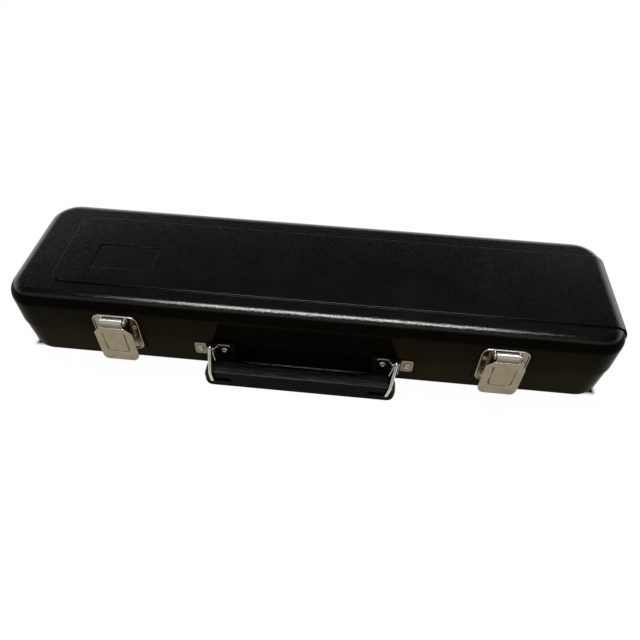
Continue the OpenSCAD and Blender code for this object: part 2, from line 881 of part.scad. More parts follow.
// Carrying handle, standing on the table in front of the case
module handle_grip() {
    middle_z = handle_lift + handle_height / 2;
    middle_y = (handle_front + handle_back) / 2;
    slot_shift = slot_length / 2 - wire_radius - link_end_clearance;
    slot_reach = link_spacing / 2 - slot_shift;
    color("#1b1a19")
        difference() {
            intersection() {
                translate([handle_middle, handle_back, middle_z])
                    rotate([90, 0, 0])
                        linear_extrude(height = handle_depth)
                            rounded_rectangle([handle_length, handle_height], handle_end_radius);
                translate([handle_middle, middle_y, handle_lift - overrun])
                    linear_extrude(height = handle_height + 2 * overrun)
                        rounded_rectangle([handle_length, handle_depth], handle_plan_radius);
            }
            for (side = [left, right])
                translate([handle_middle + side * slot_reach, handle_back + overrun, slot_middle])
                    rotate([90, 0, 0])
                        linear_extrude(height = handle_depth + 2 * overrun)
                            rounded_rectangle([slot_length, slot_height], slot_height / 4);
        }
}

// Height in the plane of a leaning link of the point that lies at this height above the table
function link_height(height, lean) = bridge_z - (bridge_z - height) / cos(lean);

// Corners of a link's centre line in its own plane, as [back to front, height], and their bending radii
function link_corners(lean) = [
    [link_back, bridge_z + link_top_radius],
    [bridge_y - link_top_radius / 2, bridge_z + link_top_radius],
    [link_front, link_height(link_shoulder, lean)],
    [link_front, link_height(slot_middle, lean)],
    [link_back, link_height(slot_middle, lean)]
];
link_tight_share = 0.8;
link_radii = [link_top_radius, link_tight_share * link_top_radius, link_bend_radius, link_bend_radius,
    link_bend_radius];
link_steps = 6;
wire_sides = 12;

function heading_of(from, to) = atan2(to.y - from.y, to.x - from.x);
function turn_of(before, at, after) = (heading_of(at, after) - heading_of(before, at) + 540) % 360 - 180;

// Points along one bent corner, each with the wire's heading there
function bend_points(before, at, after, radius) =
    let (turn = turn_of(before, at, after), heading = heading_of(before, at))
    let (start = at - radius * tan(turn / 2) * [cos(heading), sin(heading)])
    let (centre = start + radius * [-sin(heading), cos(heading)])
    [for (step = [0:link_steps])
        let (here = heading + turn * step / link_steps)
        [centre + radius * [sin(here), -cos(here)], here]];

function link_path(lean) =
    let (corners = link_corners(lean), count = len(corners))
    [for (index = [0:count - 1])
        each bend_points(corners[(index + count - 1) % count], corners[index],
            corners[(index + 1) % count], link_radii[index])];

// Closed tube of round wire along the link's centre line, in the plane x = 0
module wire_loop(path) {
    rings = len(path);
    points = [for (place = path) for (side = [0:wire_sides - 1])
        let (angle = 360 * side / wire_sides, across = wire_radius * cos(angle))
        [wire_radius * sin(angle), place[0].x - across * sin(place[1]), place[0].y + across * cos(place[1])]];
    faces = [for (ring = [0:rings - 1]) for (side = [0:wire_sides - 1])
        let (next_ring = (ring + 1) % rings, next_side = (side + 1) % wire_sides)
        each [
            [ring * wire_sides + side, next_ring * wire_sides + side, next_ring * wire_sides + next_side],
            [ring * wire_sides + side, next_ring * wire_sides + next_side, ring * wire_sides + next_side]
        ]];
    polyhedron(points, faces);
}

// Link that leans from its bracket to its slot in the handle
module handle_link(side) {
    lean = link_lean(side);
    color("#c9c6bf")
        translate([bracket_x(side), 0, bridge_z])
            rotate([0, lean, 0])
                translate([0, 0, -bridge_z])
                    wire_loop(link_path(lean));
}

// Strap bracket: two riveted wings and a bridge that the link swings on, open under the bridge.
// The leg towards the handle's middle is cut back downwards, which lets the link lean.
module handle_bracket(side) {
    color("#c9c6bf")
        translate([bracket_x(side), front, bracket_height])
            difference() {
                intersection() {
                    translate([0, 0, -bracket_wing_height / 2 - overrun])
                        linear_extrude(height = bracket_wing_height + 2 * overrun)
                            bracket_plan();
                    translate([0, overrun, 0])
                        rotate([90, 0, 0])
                            linear_extrude(height = bridge_out + strap_thickness + 2 * overrun)
                                rounded_rectangle([bracket_length, bracket_wing_height],
                                    bracket_corner_radius);
                }
                translate([0, overrun, 0])
                    rotate([90, 0, 0])
                        linear_extrude(height = bridge_out + strap_thickness + 2 * overrun)
                            bridge_opening(side);
                for (turn = [left, right])
                    translate([turn * bracket_rivet_offset, overrun, 0])
                        rotate([90, 0, 0])
                            cylinder(r = rivet_shank_radius + rivet_clearance,
                                h = strap_thickness + 2 * overrun);
            }
}

// The bent strap of a bracket, seen from above
module bracket_plan() {
    outer = bridge_out + strap_thickness / 2;
    inner = bridge_out - strap_thickness / 2;
    foot = bridge_length / 2;
    crest = bridge_crest / 2;
    bend = strap_thickness * tan(atan2(inner, foot - crest) / 2);
    end = bracket_length / 2 + overrun;
    polygon([
        [-end, 0],
        [-foot, 0],
        [-crest, -inner],
        [crest, -inner],
        [foot, 0],
        [end, 0],
        [end, -strap_thickness],
        [foot + bend, -strap_thickness],
        [crest + bend, -outer],
        [-crest - bend, -outer],
        [-foot - bend, -strap_thickness],
        [-end, -strap_thickness]
    ]);
}

// The opening under a bracket's bridge, seen from the front
module bridge_opening(side) {
    low = -bracket_wing_height / 2;
    crest = bridge_crest / 2;
    polygon([
        [side * crest, low - overrun],
        [side * crest, -low - bridge_height],
        [-side * crest, -low - bridge_height],
        [-side * bridge_length / 2, low],
        [-side * bridge_length / 2, low - overrun]
    ]);
}

module keeper_rivets() {
    color("#d2cdc0")
        for (place = keeper_rivet_places)
            rivet(place, plate_thickness, wall, latch_rivet_head_radius);
}

module catch_rivets() {
    color("#d2cdc0")
        for (place = catch_rivet_places)
            rivet(place, plate_thickness, base_inner_face(catch_rivet_height), latch_rivet_head_radius);
}

module bracket_rivets() {
    color("#d2cdc0")
        for (place = bracket_rivet_places)
            rivet(place, strap_thickness, base_inner_face(bracket_height), bracket_rivet_head_radius);
}

base_shell();
lid_shell();
hinge_pin(left);  // hinge_pin_left
hinge_pin(right);  // hinge_pin_right
base_tray();
lid_pad();
keeper_plate(left);  // keeper_plate_left
keeper_plate(right);  // keeper_plate_right
catch_plate(left);  // catch_plate_left
catch_plate(right);  // catch_plate_right
latch_lever(left);  // latch_lever_left
latch_lever(right);  // latch_lever_right
lever_pin(left);  // lever_pin_left
lever_pin(right);  // lever_pin_right
handle_grip();
handle_link(left);  // handle_link_left
handle_link(right);  // handle_link_right
handle_bracket(left);  // handle_bracket_left
handle_bracket(right);  // handle_bracket_right
keeper_rivets();
catch_rivets();
bracket_rivets();
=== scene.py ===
import json
import math

import bmesh
import bpy
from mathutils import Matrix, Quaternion, Vector, noise

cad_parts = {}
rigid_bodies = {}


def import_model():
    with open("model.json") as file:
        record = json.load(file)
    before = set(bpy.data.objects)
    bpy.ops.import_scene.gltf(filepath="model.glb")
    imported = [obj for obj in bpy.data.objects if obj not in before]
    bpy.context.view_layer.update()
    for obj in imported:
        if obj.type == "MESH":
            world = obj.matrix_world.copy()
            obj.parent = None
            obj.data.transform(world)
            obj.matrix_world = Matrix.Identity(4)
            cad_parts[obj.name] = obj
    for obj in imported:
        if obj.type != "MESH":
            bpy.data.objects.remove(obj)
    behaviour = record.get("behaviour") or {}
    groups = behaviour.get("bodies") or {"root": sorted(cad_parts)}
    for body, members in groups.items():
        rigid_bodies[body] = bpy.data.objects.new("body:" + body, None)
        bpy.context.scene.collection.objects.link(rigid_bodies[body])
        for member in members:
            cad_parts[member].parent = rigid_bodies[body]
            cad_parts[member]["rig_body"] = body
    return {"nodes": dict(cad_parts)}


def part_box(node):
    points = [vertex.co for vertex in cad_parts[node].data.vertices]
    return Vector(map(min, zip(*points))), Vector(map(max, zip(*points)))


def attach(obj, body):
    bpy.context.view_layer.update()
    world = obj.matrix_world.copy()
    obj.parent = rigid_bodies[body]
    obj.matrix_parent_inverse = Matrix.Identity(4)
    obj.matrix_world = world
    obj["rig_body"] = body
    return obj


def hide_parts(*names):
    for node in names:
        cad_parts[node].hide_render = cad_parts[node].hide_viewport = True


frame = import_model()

print("flute case: frame loaded with", len(frame["nodes"]), "nodes")
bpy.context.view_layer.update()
mm = 0.001  # every length below is written in millimetres and turned into metres with this
scene = bpy.context.scene
collection = scene.collection


# Helpers for node trees

def newGroup(name, inputs, outputs, kind="ShaderNodeTree"):
    group = bpy.data.node_groups.new(name, kind)
    for socket, socketType, value in inputs:
        made = group.interface.new_socket(socket, in_out="INPUT", socket_type=socketType)
        if value is not None:
            made.default_value = value
    for socket, socketType in outputs:
        group.interface.new_socket(socket, in_out="OUTPUT", socket_type=socketType)
    return group, group.nodes.new("NodeGroupInput"), group.nodes.new("NodeGroupOutput")


def addNode(tree, kind, values=None, **settings):
    # values that are sockets of other nodes are linked, plain ones are set
    node = tree.nodes.new(kind)
    for name, value in settings.items():
        setattr(node, name, value)
    for name, value in (values or {}).items():
        if isinstance(value, bpy.types.NodeSocket):
            tree.links.new(value, node.inputs[name])
        elif value is not None:
            node.inputs[name].default_value = value
    return node


def addMath(tree, operation, *values):
    return addNode(tree, "ShaderNodeMath", dict(enumerate(values)), operation=operation).outputs[0]


def addVector(tree, operation, first, second=None, scale=None):
    values = {0: first, 1: second, "Scale": scale}
    node = addNode(tree, "ShaderNodeVectorMath", values, operation=operation)
    return node.outputs["Value" if operation == "LENGTH" else "Vector"]


def addRange(tree, value, fromLow, fromHigh, toLow, toHigh, smooth=False):
    return addNode(tree, "ShaderNodeMapRange", {
        "Value": value, "From Min": fromLow, "From Max": fromHigh, "To Min": toLow, "To Max": toHigh},
        interpolation_type="SMOOTHSTEP" if smooth else "LINEAR").outputs[0]


def addNoise(tree, vector, scale, detail=3.0, roughness=0.55, output="Fac"):
    return addNode(tree, "ShaderNodeTexNoise", {
        "Vector": vector, "Scale": scale, "Detail": detail, "Roughness": roughness}).outputs[output]


def addSplit(tree, vector):
    return addNode(tree, "ShaderNodeSeparateXYZ", {0: vector}).outputs


def addStretch(tree, vector, share, turn=(0, 0, 0)):
    # squeezes a place along X, so that a pattern on it runs long that way
    values = {"Vector": vector, "Rotation": turn, "Scale": (share, 1, 1)}
    return addNode(tree, "ShaderNodeMapping", values).outputs["Vector"]


def addOpenness(tree, reach, samples, onlyLocal=False):
    # share of the sky over a point that nothing within reach hides
    return addNode(tree, "ShaderNodeAmbientOcclusion", {"Distance": reach * mm},
                   samples=samples, only_local=onlyLocal).outputs["AO"]


def addFacing(tree):
    # how far the object's own surface points upwards, from -1 to 1
    return addSplit(tree, addNode(tree, "ShaderNodeTexCoord").outputs["Normal"])["Z"]


def addUpward(tree, slopes):
    # 0 on walls and 1 where the surface faces upwards
    return addRange(tree, addFacing(tree), *slopes, 0.0, 1.0, smooth=True)


def mixColors(tree, factor, first, second):
    first, second = (color if isinstance(color, bpy.types.NodeSocket) else (*color, 1)
                     for color in (first, second))
    mix = addNode(tree, "ShaderNodeMix", {"Factor": factor, "A": first, "B": second}, data_type="RGBA")
    return mix.outputs["Result"]


def mixShaders(tree, factor, first, second):
    return addNode(tree, "ShaderNodeMixShader", {0: factor, 1: first.outputs[0], 2: second.outputs[0]})


def addRays(tree):
    # 1 for what the camera, the metal or glass sees, and 0 for plain light
    rays = addNode(tree, "ShaderNodeLightPath").outputs
    either = addMath(tree, "MAXIMUM", rays["Is Camera Ray"], rays["Is Glossy Ray"])
    return addMath(tree, "MAXIMUM", either, rays["Is Transmission Ray"])


def startMaterial(name):
    material = bpy.data.materials.new(name)
    material.use_nodes = True
    tree = material.node_tree
    shader = next(node for node in tree.nodes if node.type == "BSDF_PRINCIPLED")
    place = addNode(tree, "ShaderNodeTexCoord").outputs["Object"]
    return material, tree, shader, place


# Camera, lamp, world and floor

cameraLook = {
    "lens": 32.01,
    "sensor": 36.0,
    "place": (27.63, -292.61, 328.94),
    "forward": (-0.05358, 0.66618, -0.74386),
    "roll": 1.49,  # degrees
}


def makeCamera(look):
    data = bpy.data.cameras.new("photoCamera")
    data.lens = look["lens"]
    data.sensor_width = look["sensor"]
    data.clip_start, data.clip_end = 0.01, 20
    camera = bpy.data.objects.new("photoCamera", data)
    collection.objects.link(camera)
    back = -Vector(look["forward"])
    turn = back.to_track_quat("Z", "Y") @ Quaternion((0, 0, 1), math.radians(look["roll"]))
    camera.rotation_mode = "QUATERNION"
    camera.rotation_quaternion = turn
    camera.location = Vector(look["place"]) * mm
    scene.camera = camera


stageLook = {
    "lampFrom": (-0.03, 0.25, 0.97),  # direction of the lamp above the case
    "lampDistance": 1000,
    "lampSize": (800, 330),
    "lampAim": (10, -45, 56),
    "lampWatts": 8.6,
    "lampColor": (1.0, 0.99, 0.97),
    "skyColor": (0.92, 0.96, 1.0),
    "skyStrength": 0.3,
    "floorSize": 6000,
    "floorColor": (0.8, 0.78, 0.74),
    "seenColor": (1.0, 1.0, 1.0),  # what the camera and the metal see of the floor and the sky
    "ceilingFrom": 14,  # degrees above the horizon at which the room's pale wall starts to darken
    "ceilingTo": 40,
    "ceilingShare": 0.018,  # how pale the ceiling is
    "frontShare": 0.26,  # the room in front of the case stays this pale up to the top
    "frontSpan": (-0.3, 0.02),  # y of the direction at which the front ends and the dark ceiling starts
    "footprints": [  # middle and half size of the painted shadow on the floor under the case and behind the handle
        ((0, 1), (201, 45)),
        ((-4, -53), (62, 10)),
    ],
    "footprintEase": 3,
    # colour of the painted shadow in the footprints
    "shadowColor": (0.02, 0.02, 0.018),
    "shadowReach": 40,  # how far away the handle still keeps the painted shadow in its footprint
    "shadowSamples": 12,
    "shadowOpenings": (0.36, 0.5),  # share of open sky that keeps that footprint dark, and that clears it
    "glowShare": 0.99,  # share of the seen floor that is plain white away from the footprints
}


def makeWorld(look):
    # plain light from all sides; the metal sees a pale room with a dark ceiling, the camera sees white
    world = bpy.data.worlds.new("studio")
    scene.world = world
    world.use_nodes = True
    tree = world.node_tree
    tree.nodes.clear()
    sky = addNode(tree, "ShaderNodeBackground", {
        "Color": (*look["skyColor"], 1), "Strength": look["skyStrength"]})
    toSky = addSplit(tree, addNode(tree, "ShaderNodeTexCoord").outputs["Generated"])
    steps = [math.sin(math.radians(look[name])) for name in ("ceilingFrom", "ceilingTo")]
    room = addRange(tree, toSky["Z"], *steps, 1.0, look["ceilingShare"], smooth=True)
    ahead = addRange(tree, toSky["Y"], *look["frontSpan"], look["frontShare"], 0.0, smooth=True)
    room = addMath(tree, "MAXIMUM", room, ahead)
    toCamera = addNode(tree, "ShaderNodeLightPath").outputs["Is Camera Ray"]
    seen = addNode(tree, "ShaderNodeBackground", {
        "Color": (*look["seenColor"], 1), "Strength": addMath(tree, "MAXIMUM", room, toCamera)})
    mix = mixShaders(tree, addRays(tree), sky, seen)
    addNode(tree, "ShaderNodeOutputWorld", {"Surface": mix.outputs[0]})


def makeLamp(look):
    lamp = bpy.data.lights.new("softLamp", "AREA")
    lamp.shape = "RECTANGLE"
    lamp.size, lamp.size_y = (side * mm for side in look["lampSize"])
    lamp.energy = look["lampWatts"]
    lamp.color = look["lampColor"]
    holder = bpy.data.objects.new("softLamp", lamp)
    collection.objects.link(holder)
    toLamp = Vector(look["lampFrom"]).normalized()
    holder.location = (Vector(look["lampAim"]) + toLamp * look["lampDistance"]) * mm
    holder.rotation_mode = "QUATERNION"
    holder.rotation_quaternion = toLamp.to_track_quat("Z", "Y")


def makeFloor(look):
    # pale floor with the object's shadow, seen nearly white outside the footprints; inside them the camera
    # sees a painted shadow
    half = look["floorSize"] * mm / 2
    mesh = bpy.data.meshes.new("floor")
    corners = [(-half, -half, 0), (half, -half, 0), (half, half, 0), (-half, half, 0)]
    mesh.from_pydata(corners, [], [(0, 1, 2, 3)])
    floor = bpy.data.objects.new("floor", mesh)
    collection.objects.link(floor)
    material, tree, shader, place = startMaterial("paleFloor")
    tree.nodes.remove(shader)
    output = next(node for node in tree.nodes if node.type == "OUTPUT_MATERIAL")
    rays = addRays(tree)
    clear = addOpenness(tree, look["shadowReach"], look["shadowSamples"])
    bare = addRange(tree, clear, *look["shadowOpenings"], 0.0, 1.0, smooth=True)
    away = []
    for middle, size in look["footprints"]:
        offset = addVector(tree, "SUBTRACT", place, [value * mm for value in (*middle, 0)])
        offset = addVector(tree, "ABSOLUTE", offset)
        past = addVector(tree, "SUBTRACT", offset, [value * mm for value in (*size, 0)])
        distance = addVector(tree, "LENGTH", addVector(tree, "MAXIMUM", past, (0, 0, 0)))
        away.append(addRange(tree, distance, 0.0, look["footprintEase"] * mm, 0.0, 1.0))
    fromCase, fromHandle = away
    # painted shadow: dark in the case's footprint, and in the handle's while the handle hides the sky there
    outside = addMath(tree, "MINIMUM", fromCase, addMath(tree, "MAXIMUM", fromHandle, bare))
    seen = mixColors(tree, outside, look["shadowColor"], look["seenColor"])
    plain = addNode(tree, "ShaderNodeBsdfDiffuse", {"Color": mixColors(tree, rays, look["floorColor"], seen)})
    glow = addNode(tree, "ShaderNodeEmission", {"Color": (*look["seenColor"], 1)})
    share = addMath(tree, "MULTIPLY", outside, look["glowShare"])
    mix = mixShaders(tree, addMath(tree, "MULTIPLY", rays, share), plain, glow)
    tree.links.new(mix.outputs[0], output.inputs["Surface"])
    mesh.materials.append(material)


makeCamera(cameraLook)
makeWorld(stageLook)
makeLamp(stageLook)
makeFloor(stageLook)
scene.view_settings.view_transform = "Standard"
print("camera, lamp and floor made")


# Shader groups shared by several finishes

def makePebbleGrain():
    # moulded grain: small rounded cells with narrow valleys between them
    group, start, end = newGroup(
        "pebbleGrain",
        [("Vector", "NodeSocketVector", None), ("Cells per metre", "NodeSocketFloat", 1000.0),
         ("Waviness", "NodeSocketFloat", 0.35)],
        [("Height", "NodeSocketFloat"), ("Tone", "NodeSocketFloat")])
    scaled = addVector(group, "SCALE", start.outputs["Vector"], scale=start.outputs["Cells per metre"])
    wobble = addNoise(group, scaled, 0.9, 2.0, 0.5, "Color")
    shifted = addVector(group, "SCALE", wobble, scale=start.outputs["Waviness"])
    warped = addVector(group, "ADD", scaled, shifted)
    cells = addNode(group, "ShaderNodeTexVoronoi", {
        "Vector": warped, "Scale": 1, "Smoothness": 0.35}, feature="SMOOTH_F1")
    dome = addRange(group, cells.outputs["Distance"], 0.05, 0.75, 1.0, 0.0, smooth=True)
    fine = addNoise(group, scaled, 3.2, 3.0, 0.6)
    height = addMath(group, "MULTIPLY_ADD", fine, 0.2, dome)
    tone = addNoise(group, start.outputs["Vector"], 28.0, 4.0, 0.6)
    group.links.new(height, end.inputs["Height"])
    group.links.new(tone, end.inputs["Tone"])
    return group


def makeScratches():
    # fine straight scratches in two directions, and soft blotches of dulled plate
    group, start, end = newGroup(
        "fineWear",
        [("Vector", "NodeSocketVector", None), ("Scratches per metre", "NodeSocketFloat", 900.0),
         ("Blotches per metre", "NodeSocketFloat", 160.0)],
        [("Scratches", "NodeSocketFloat"), ("Blotches", "NodeSocketFloat")])
    total = None
    for turn, stretch in ((0.35, 0.03), (-0.9, 0.05)):
        along = addStretch(group, start.outputs["Vector"], stretch, (0.4, turn, 0.2))
        lines = addNoise(group, along, start.outputs["Scratches per metre"], 2.0, 0.7)
        sharp = addRange(group, lines, 0.6, 0.72, 0.0, 1.0, smooth=True)
        total = sharp if total is None else addMath(group, "MAXIMUM", total, sharp)
    patches = addNoise(group, start.outputs["Vector"], start.outputs["Blotches per metre"], 5.0, 0.6)
    group.links.new(total, end.inputs["Scratches"])
    group.links.new(addRange(group, patches, 0.3, 0.7, 0.0, 1.0, smooth=True), end.inputs["Blotches"])
    return group


def makeDust():
    # sparse pale specks
    group, start, end = newGroup(
        "dustSpecks",
        [("Vector", "NodeSocketVector", None), ("Specks per metre", "NodeSocketFloat", 350.0),
         ("Speck size", "NodeSocketFloat", 0.09)],
        [("Mask", "NodeSocketFloat")])
    cells = addNode(group, "ShaderNodeTexVoronoi", {
        "Vector": start.outputs["Vector"], "Scale": start.outputs["Specks per metre"]})
    near = addMath(group, "LESS_THAN", cells.outputs["Distance"], start.outputs["Speck size"])
    parts = addNode(group, "ShaderNodeSeparateColor", {0: cells.outputs["Color"]})
    rare = addMath(group, "GREATER_THAN", parts.outputs[0], 0.8)
    group.links.new(addMath(group, "MULTIPLY", near, rare), end.inputs["Mask"])
    return group


pebbleGrain = makePebbleGrain()
fineWear = makeScratches()
dustSpecks = makeDust()


def placeGroup(tree, group, place, values):
    return addNode(tree, "ShaderNodeGroup", {"Vector": place, **values}, node_tree=group)


def addBump(tree, shader, height, distance):
    bump = addNode(tree, "ShaderNodeBump", {"Strength": 1.0, "Distance": distance, "Height": height})
    tree.links.new(bump.outputs["Normal"], shader.inputs["Normal"])


# Finishes

shellFinish = {
    # painted light: the top gets a darker, bluish colour and the walls a lighter, warm one, a painted
    # reflection of sky and floor
    "topPaintedShadeColor": (0.0013, 0.0014, 0.0018),
    "wallPaintedLightColor": (0.0215, 0.0172, 0.0068),
    "paintedShadeHeight": 45.0,  # mm over which the walls get lighter towards the table, a painted light
    "paintedShadeHighShare": 0.43,  # share of the wall's colour left at that height
    "rollShadeSlopes": (0.06, 0.3),  # how far a face points upwards where the wall turns into the edge's roll, which gets a painted shade
    "rollShadeShare": 0.3,
    "recessShadeSlopes": (-0.14, -0.1),  # how far the hand recess points downwards, and the plain wall; the recess gets a painted shade
    "recessShadeShare": 0.32,
    "creviceShade": 0.05,  # share of colour and shine left in the deepest crevices, a painted shade
    "creviceReach": 2.0,  # mm
    "creviceSamples": 6,
    "creviceOpenings": (0.45, 0.9),  # share of open sky in the deepest crevice, and in none
    "paleShare": 1.4,  # how much lighter the tone gets in its patches
    "dustColor": (0.03, 0.029, 0.026),
    "specksPerMetre": 260.0,
    "speckSize": 0.07,
    "topSpecular": 0.82,
    "wallSpecular": 0.007,
    "slopes": (0.74, 0.9),  # how far a face points upwards where the wall's painted colour and shine turn into the top's
    "roughLow": 0.135,
    "roughHigh": 0.175,
    "cellsPerMetre": 1050.0,
    "grainDepth": 0.045,  # mm
}


def makeShellPlastic(look):
    material, tree, shader, place = startMaterial("pebbledPlastic")
    grain = placeGroup(tree, pebbleGrain, place, {"Cells per metre": look["cellsPerMetre"]})
    dust = placeGroup(tree, dustSpecks, place, {
        "Specks per metre": look["specksPerMetre"], "Speck size": look["speckSize"]})
    upward = addUpward(tree, look["slopes"])
    height = addSplit(tree, place)["Z"]
    facing = addFacing(tree)
    # painted shade: the walls darken higher up, on the roll into the top edge and in the downward-facing hand
    # recess; the top faces keep their colour
    shade = addRange(tree, height, 0.0, look["paintedShadeHeight"] * mm, 1.0, look["paintedShadeHighShare"])
    roll = addRange(tree, facing, *look["rollShadeSlopes"], 1.0, look["rollShadeShare"])
    under = addRange(tree, facing, *look["recessShadeSlopes"], look["recessShadeShare"], 1.0)
    shade = addMath(tree, "MULTIPLY", shade, roll)
    shade = addMath(tree, "MULTIPLY", shade, under)
    shade = addMath(tree, "MAXIMUM", shade, upward)
    # painted reflection: walls and top get their own colours by how far they face upwards
    colors = look["wallPaintedLightColor"], look["topPaintedShadeColor"]
    dark = mixColors(tree, upward, *colors)
    pale = mixColors(tree, upward, *([value * look["paleShare"] for value in color] for color in colors))
    plain = mixColors(tree, addRange(tree, grain.outputs["Tone"], 0.3, 0.75, 0.0, 1.0), dark, pale)
    # the painted shade darkens the colour
    plain = mixColors(tree, shade, (0, 0, 0), plain)
    dusty = mixColors(tree, dust.outputs["Mask"], plain, look["dustColor"])
    # painted shade: colour and shine darken in crevices that nearby parts hide from the sky
    clear = addOpenness(tree, look["creviceReach"], look["creviceSamples"], onlyLocal=True)
    clear = addRange(tree, clear, *look["creviceOpenings"], look["creviceShade"], 1.0)
    color = mixColors(tree, clear, (0, 0, 0), dusty)
    tree.links.new(color, shader.inputs["Base Color"])
    rough = addRange(tree, grain.outputs["Tone"], 0.3, 0.7, look["roughLow"], look["roughHigh"])
    tree.links.new(rough, shader.inputs["Roughness"])
    shine = addRange(tree, upward, 0.0, 1.0, look["wallSpecular"], look["topSpecular"])
    tree.links.new(addMath(tree, "MULTIPLY", shine, clear), shader.inputs["Specular IOR Level"])
    addBump(tree, shader, grain.outputs["Height"], look["grainDepth"] * mm)
    return material


handleFinish = {
    "color": (0.0018, 0.0018, 0.0015),
    "streakColor": (0.02, 0.0195, 0.0185),
    "topSpecular": 0.42,
    "wallSpecular": 0.02,
    "slopes": (0.2, 0.5),
    "roughLow": 0.2,
    "roughHigh": 0.34,
    "grainDepth": 0.03,  # mm
    "streakFrom": 10.5,  # mm above the table at which the worn top starts
    "streakTo": 14.6,
    "streakStretch": 0.06,
    "streaksPerMetre": 900.0,
    "patchesPerMetre": 70.0,
    "grainsPerMetre": 1600.0,
    "specksPerMetre": 420.0,
    "speckSize": 0.08,
    "speckShare": 0.5,
}


def makeHandlePlastic(look):
    material, tree, shader, place = startMaterial("handlePlastic")
    along = addStretch(tree, place, look["streakStretch"])
    lines = addNoise(tree, along, look["streaksPerMetre"], 4.0, 0.65)
    patches = addNoise(tree, place, look["patchesPerMetre"], 3.0, 0.6)
    marks = addRange(tree, lines, 0.5, 0.72, 0.0, 1.0, smooth=True)
    worn = addMath(tree, "MULTIPLY", marks, addRange(tree, patches, 0.35, 0.7, 0.0, 1.0, smooth=True))
    height = addSplit(tree, place)["Z"]
    upper = addRange(tree, height, look["streakFrom"] * mm, look["streakTo"] * mm, 0.0, 1.0, smooth=True)
    mask = addMath(tree, "MULTIPLY", worn, upper)
    dust = placeGroup(tree, dustSpecks, place, {
        "Specks per metre": look["specksPerMetre"], "Speck size": look["speckSize"]})
    spots = addMath(tree, "MULTIPLY", dust.outputs["Mask"], look["speckShare"])
    mask = addMath(tree, "MAXIMUM", mask, spots)
    tree.links.new(mixColors(tree, mask, look["color"], look["streakColor"]), shader.inputs["Base Color"])
    rough = addRange(tree, lines, 0.35, 0.7, look["roughLow"], look["roughHigh"])
    tree.links.new(rough, shader.inputs["Roughness"])
    upward = addUpward(tree, look["slopes"])
    shine = addRange(tree, upward, 0.0, 1.0, look["wallSpecular"], look["topSpecular"])
    tree.links.new(shine, shader.inputs["Specular IOR Level"])
    grain = addNoise(tree, place, look["grainsPerMetre"], 2.0, 0.5)
    height = addMath(tree, "MULTIPLY_ADD", lines, 0.6, grain)
    addBump(tree, shader, height, look["grainDepth"] * mm)
    return material


plateFinish = {
    "color": (0.265, 0.225, 0.145),
    "dullColor": (0.225, 0.19, 0.118),
    "scratchColor": (0.4, 0.36, 0.27),
    "paintedHighlightColor": (0.88, 0.87, 0.84),  # painted highlight, on surfaces that face up
    "highlightRough": 0.34,
    "highlightSlopes": (0.4, 0.8),
    "roughLow": 0.18,
    "roughHigh": 0.26,
    "waveDepth": 0.006,  # mm
    "scratchesPerMetre": 1400.0,
    "scratchShare": 0.35,
    "blotchesPerMetre": 190.0,
    "wavesPerMetre": 260.0,
}
bracketFinish = {  # duller in the photo than the latches
    **plateFinish,
    "color": (0.172, 0.147, 0.09),
    "dullColor": (0.145, 0.122, 0.073),
}
wireFinish = {
    **plateFinish,
    "color": (0.5, 0.48, 0.42),
    "dullColor": (0.4, 0.375, 0.31),
    "scratchColor": (0.65, 0.63, 0.58),
    # painted highlight on the wire's upward faces
    "paintedHighlightColor": (0.8, 0.79, 0.75),
    "highlightRough": 0.2,
    "highlightSlopes": (0.5, 0.95),
    "roughLow": 0.1,
    "roughHigh": 0.17,
    "waveDepth": 0.004,
}


def makePlatedMetal(name, look):
    material, tree, shader, place = startMaterial(name)
    wear = placeGroup(tree, fineWear, place, {
        "Scratches per metre": look["scratchesPerMetre"], "Blotches per metre": look["blotchesPerMetre"]})
    toned = mixColors(tree, wear.outputs["Blotches"], look["color"], look["dullColor"])
    faint = addMath(tree, "MULTIPLY", wear.outputs["Scratches"], look["scratchShare"])
    worn = mixColors(tree, faint, toned, look["scratchColor"])
    # painted highlight: faces turned upwards get a near-white colour and their own roughness
    upward = addUpward(tree, look["highlightSlopes"])
    tree.links.new(mixColors(tree, upward, worn, look["paintedHighlightColor"]), shader.inputs["Base Color"])
    shader.inputs["Metallic"].default_value = 1
    rough = addRange(tree, wear.outputs["Blotches"], 0.0, 1.0, look["roughLow"], look["roughHigh"])
    tree.links.new(addRange(tree, upward, 0.0, 1.0, rough, look["highlightRough"]), shader.inputs["Roughness"])
    waves = addNoise(tree, place, look["wavesPerMetre"], 3.0, 0.5)
    height = addMath(tree, "MULTIPLY_ADD", wear.outputs["Scratches"], -0.12, waves)
    addBump(tree, shader, height, look["waveDepth"] * mm)
    return material


pinFinish = {
    "color": (0.5, 0.5, 0.49),
    "darkColor": (0.3, 0.29, 0.28),
    "linesPerMetre": 2600.0,
    "lineStretch": 0.15,
    "roughLow": 0.25,
    "roughHigh": 0.4,
    "lineDepth": 0.008,  # mm
}


def makePinSteel(look):
    material, tree, shader, place = startMaterial("drawnSteel")
    lines = addNoise(tree, addStretch(tree, place, look["lineStretch"]), look["linesPerMetre"], 3.0, 0.6)
    tree.links.new(mixColors(tree, lines, look["darkColor"], look["color"]), shader.inputs["Base Color"])
    shader.inputs["Metallic"].default_value = 1
    rough = addRange(tree, lines, 0.3, 0.7, look["roughLow"], look["roughHigh"])
    tree.links.new(rough, shader.inputs["Roughness"])
    addBump(tree, shader, lines, look["lineDepth"] * mm)
    return material


plushFinish = {
    "color": (0.016, 0.019, 0.062),
    "paleColor": (0.042, 0.048, 0.12),
    "pilesPerMetre": 2600.0,
    "pileDepth": 0.16,  # mm
    "brushPerMetre": 26.0,
    "rough": 0.95,
    "specular": 0.1,
    "sheen": 0.6,
    "sheenRough": 0.45,
    "sheenTint": (0.3, 0.34, 0.62),
}


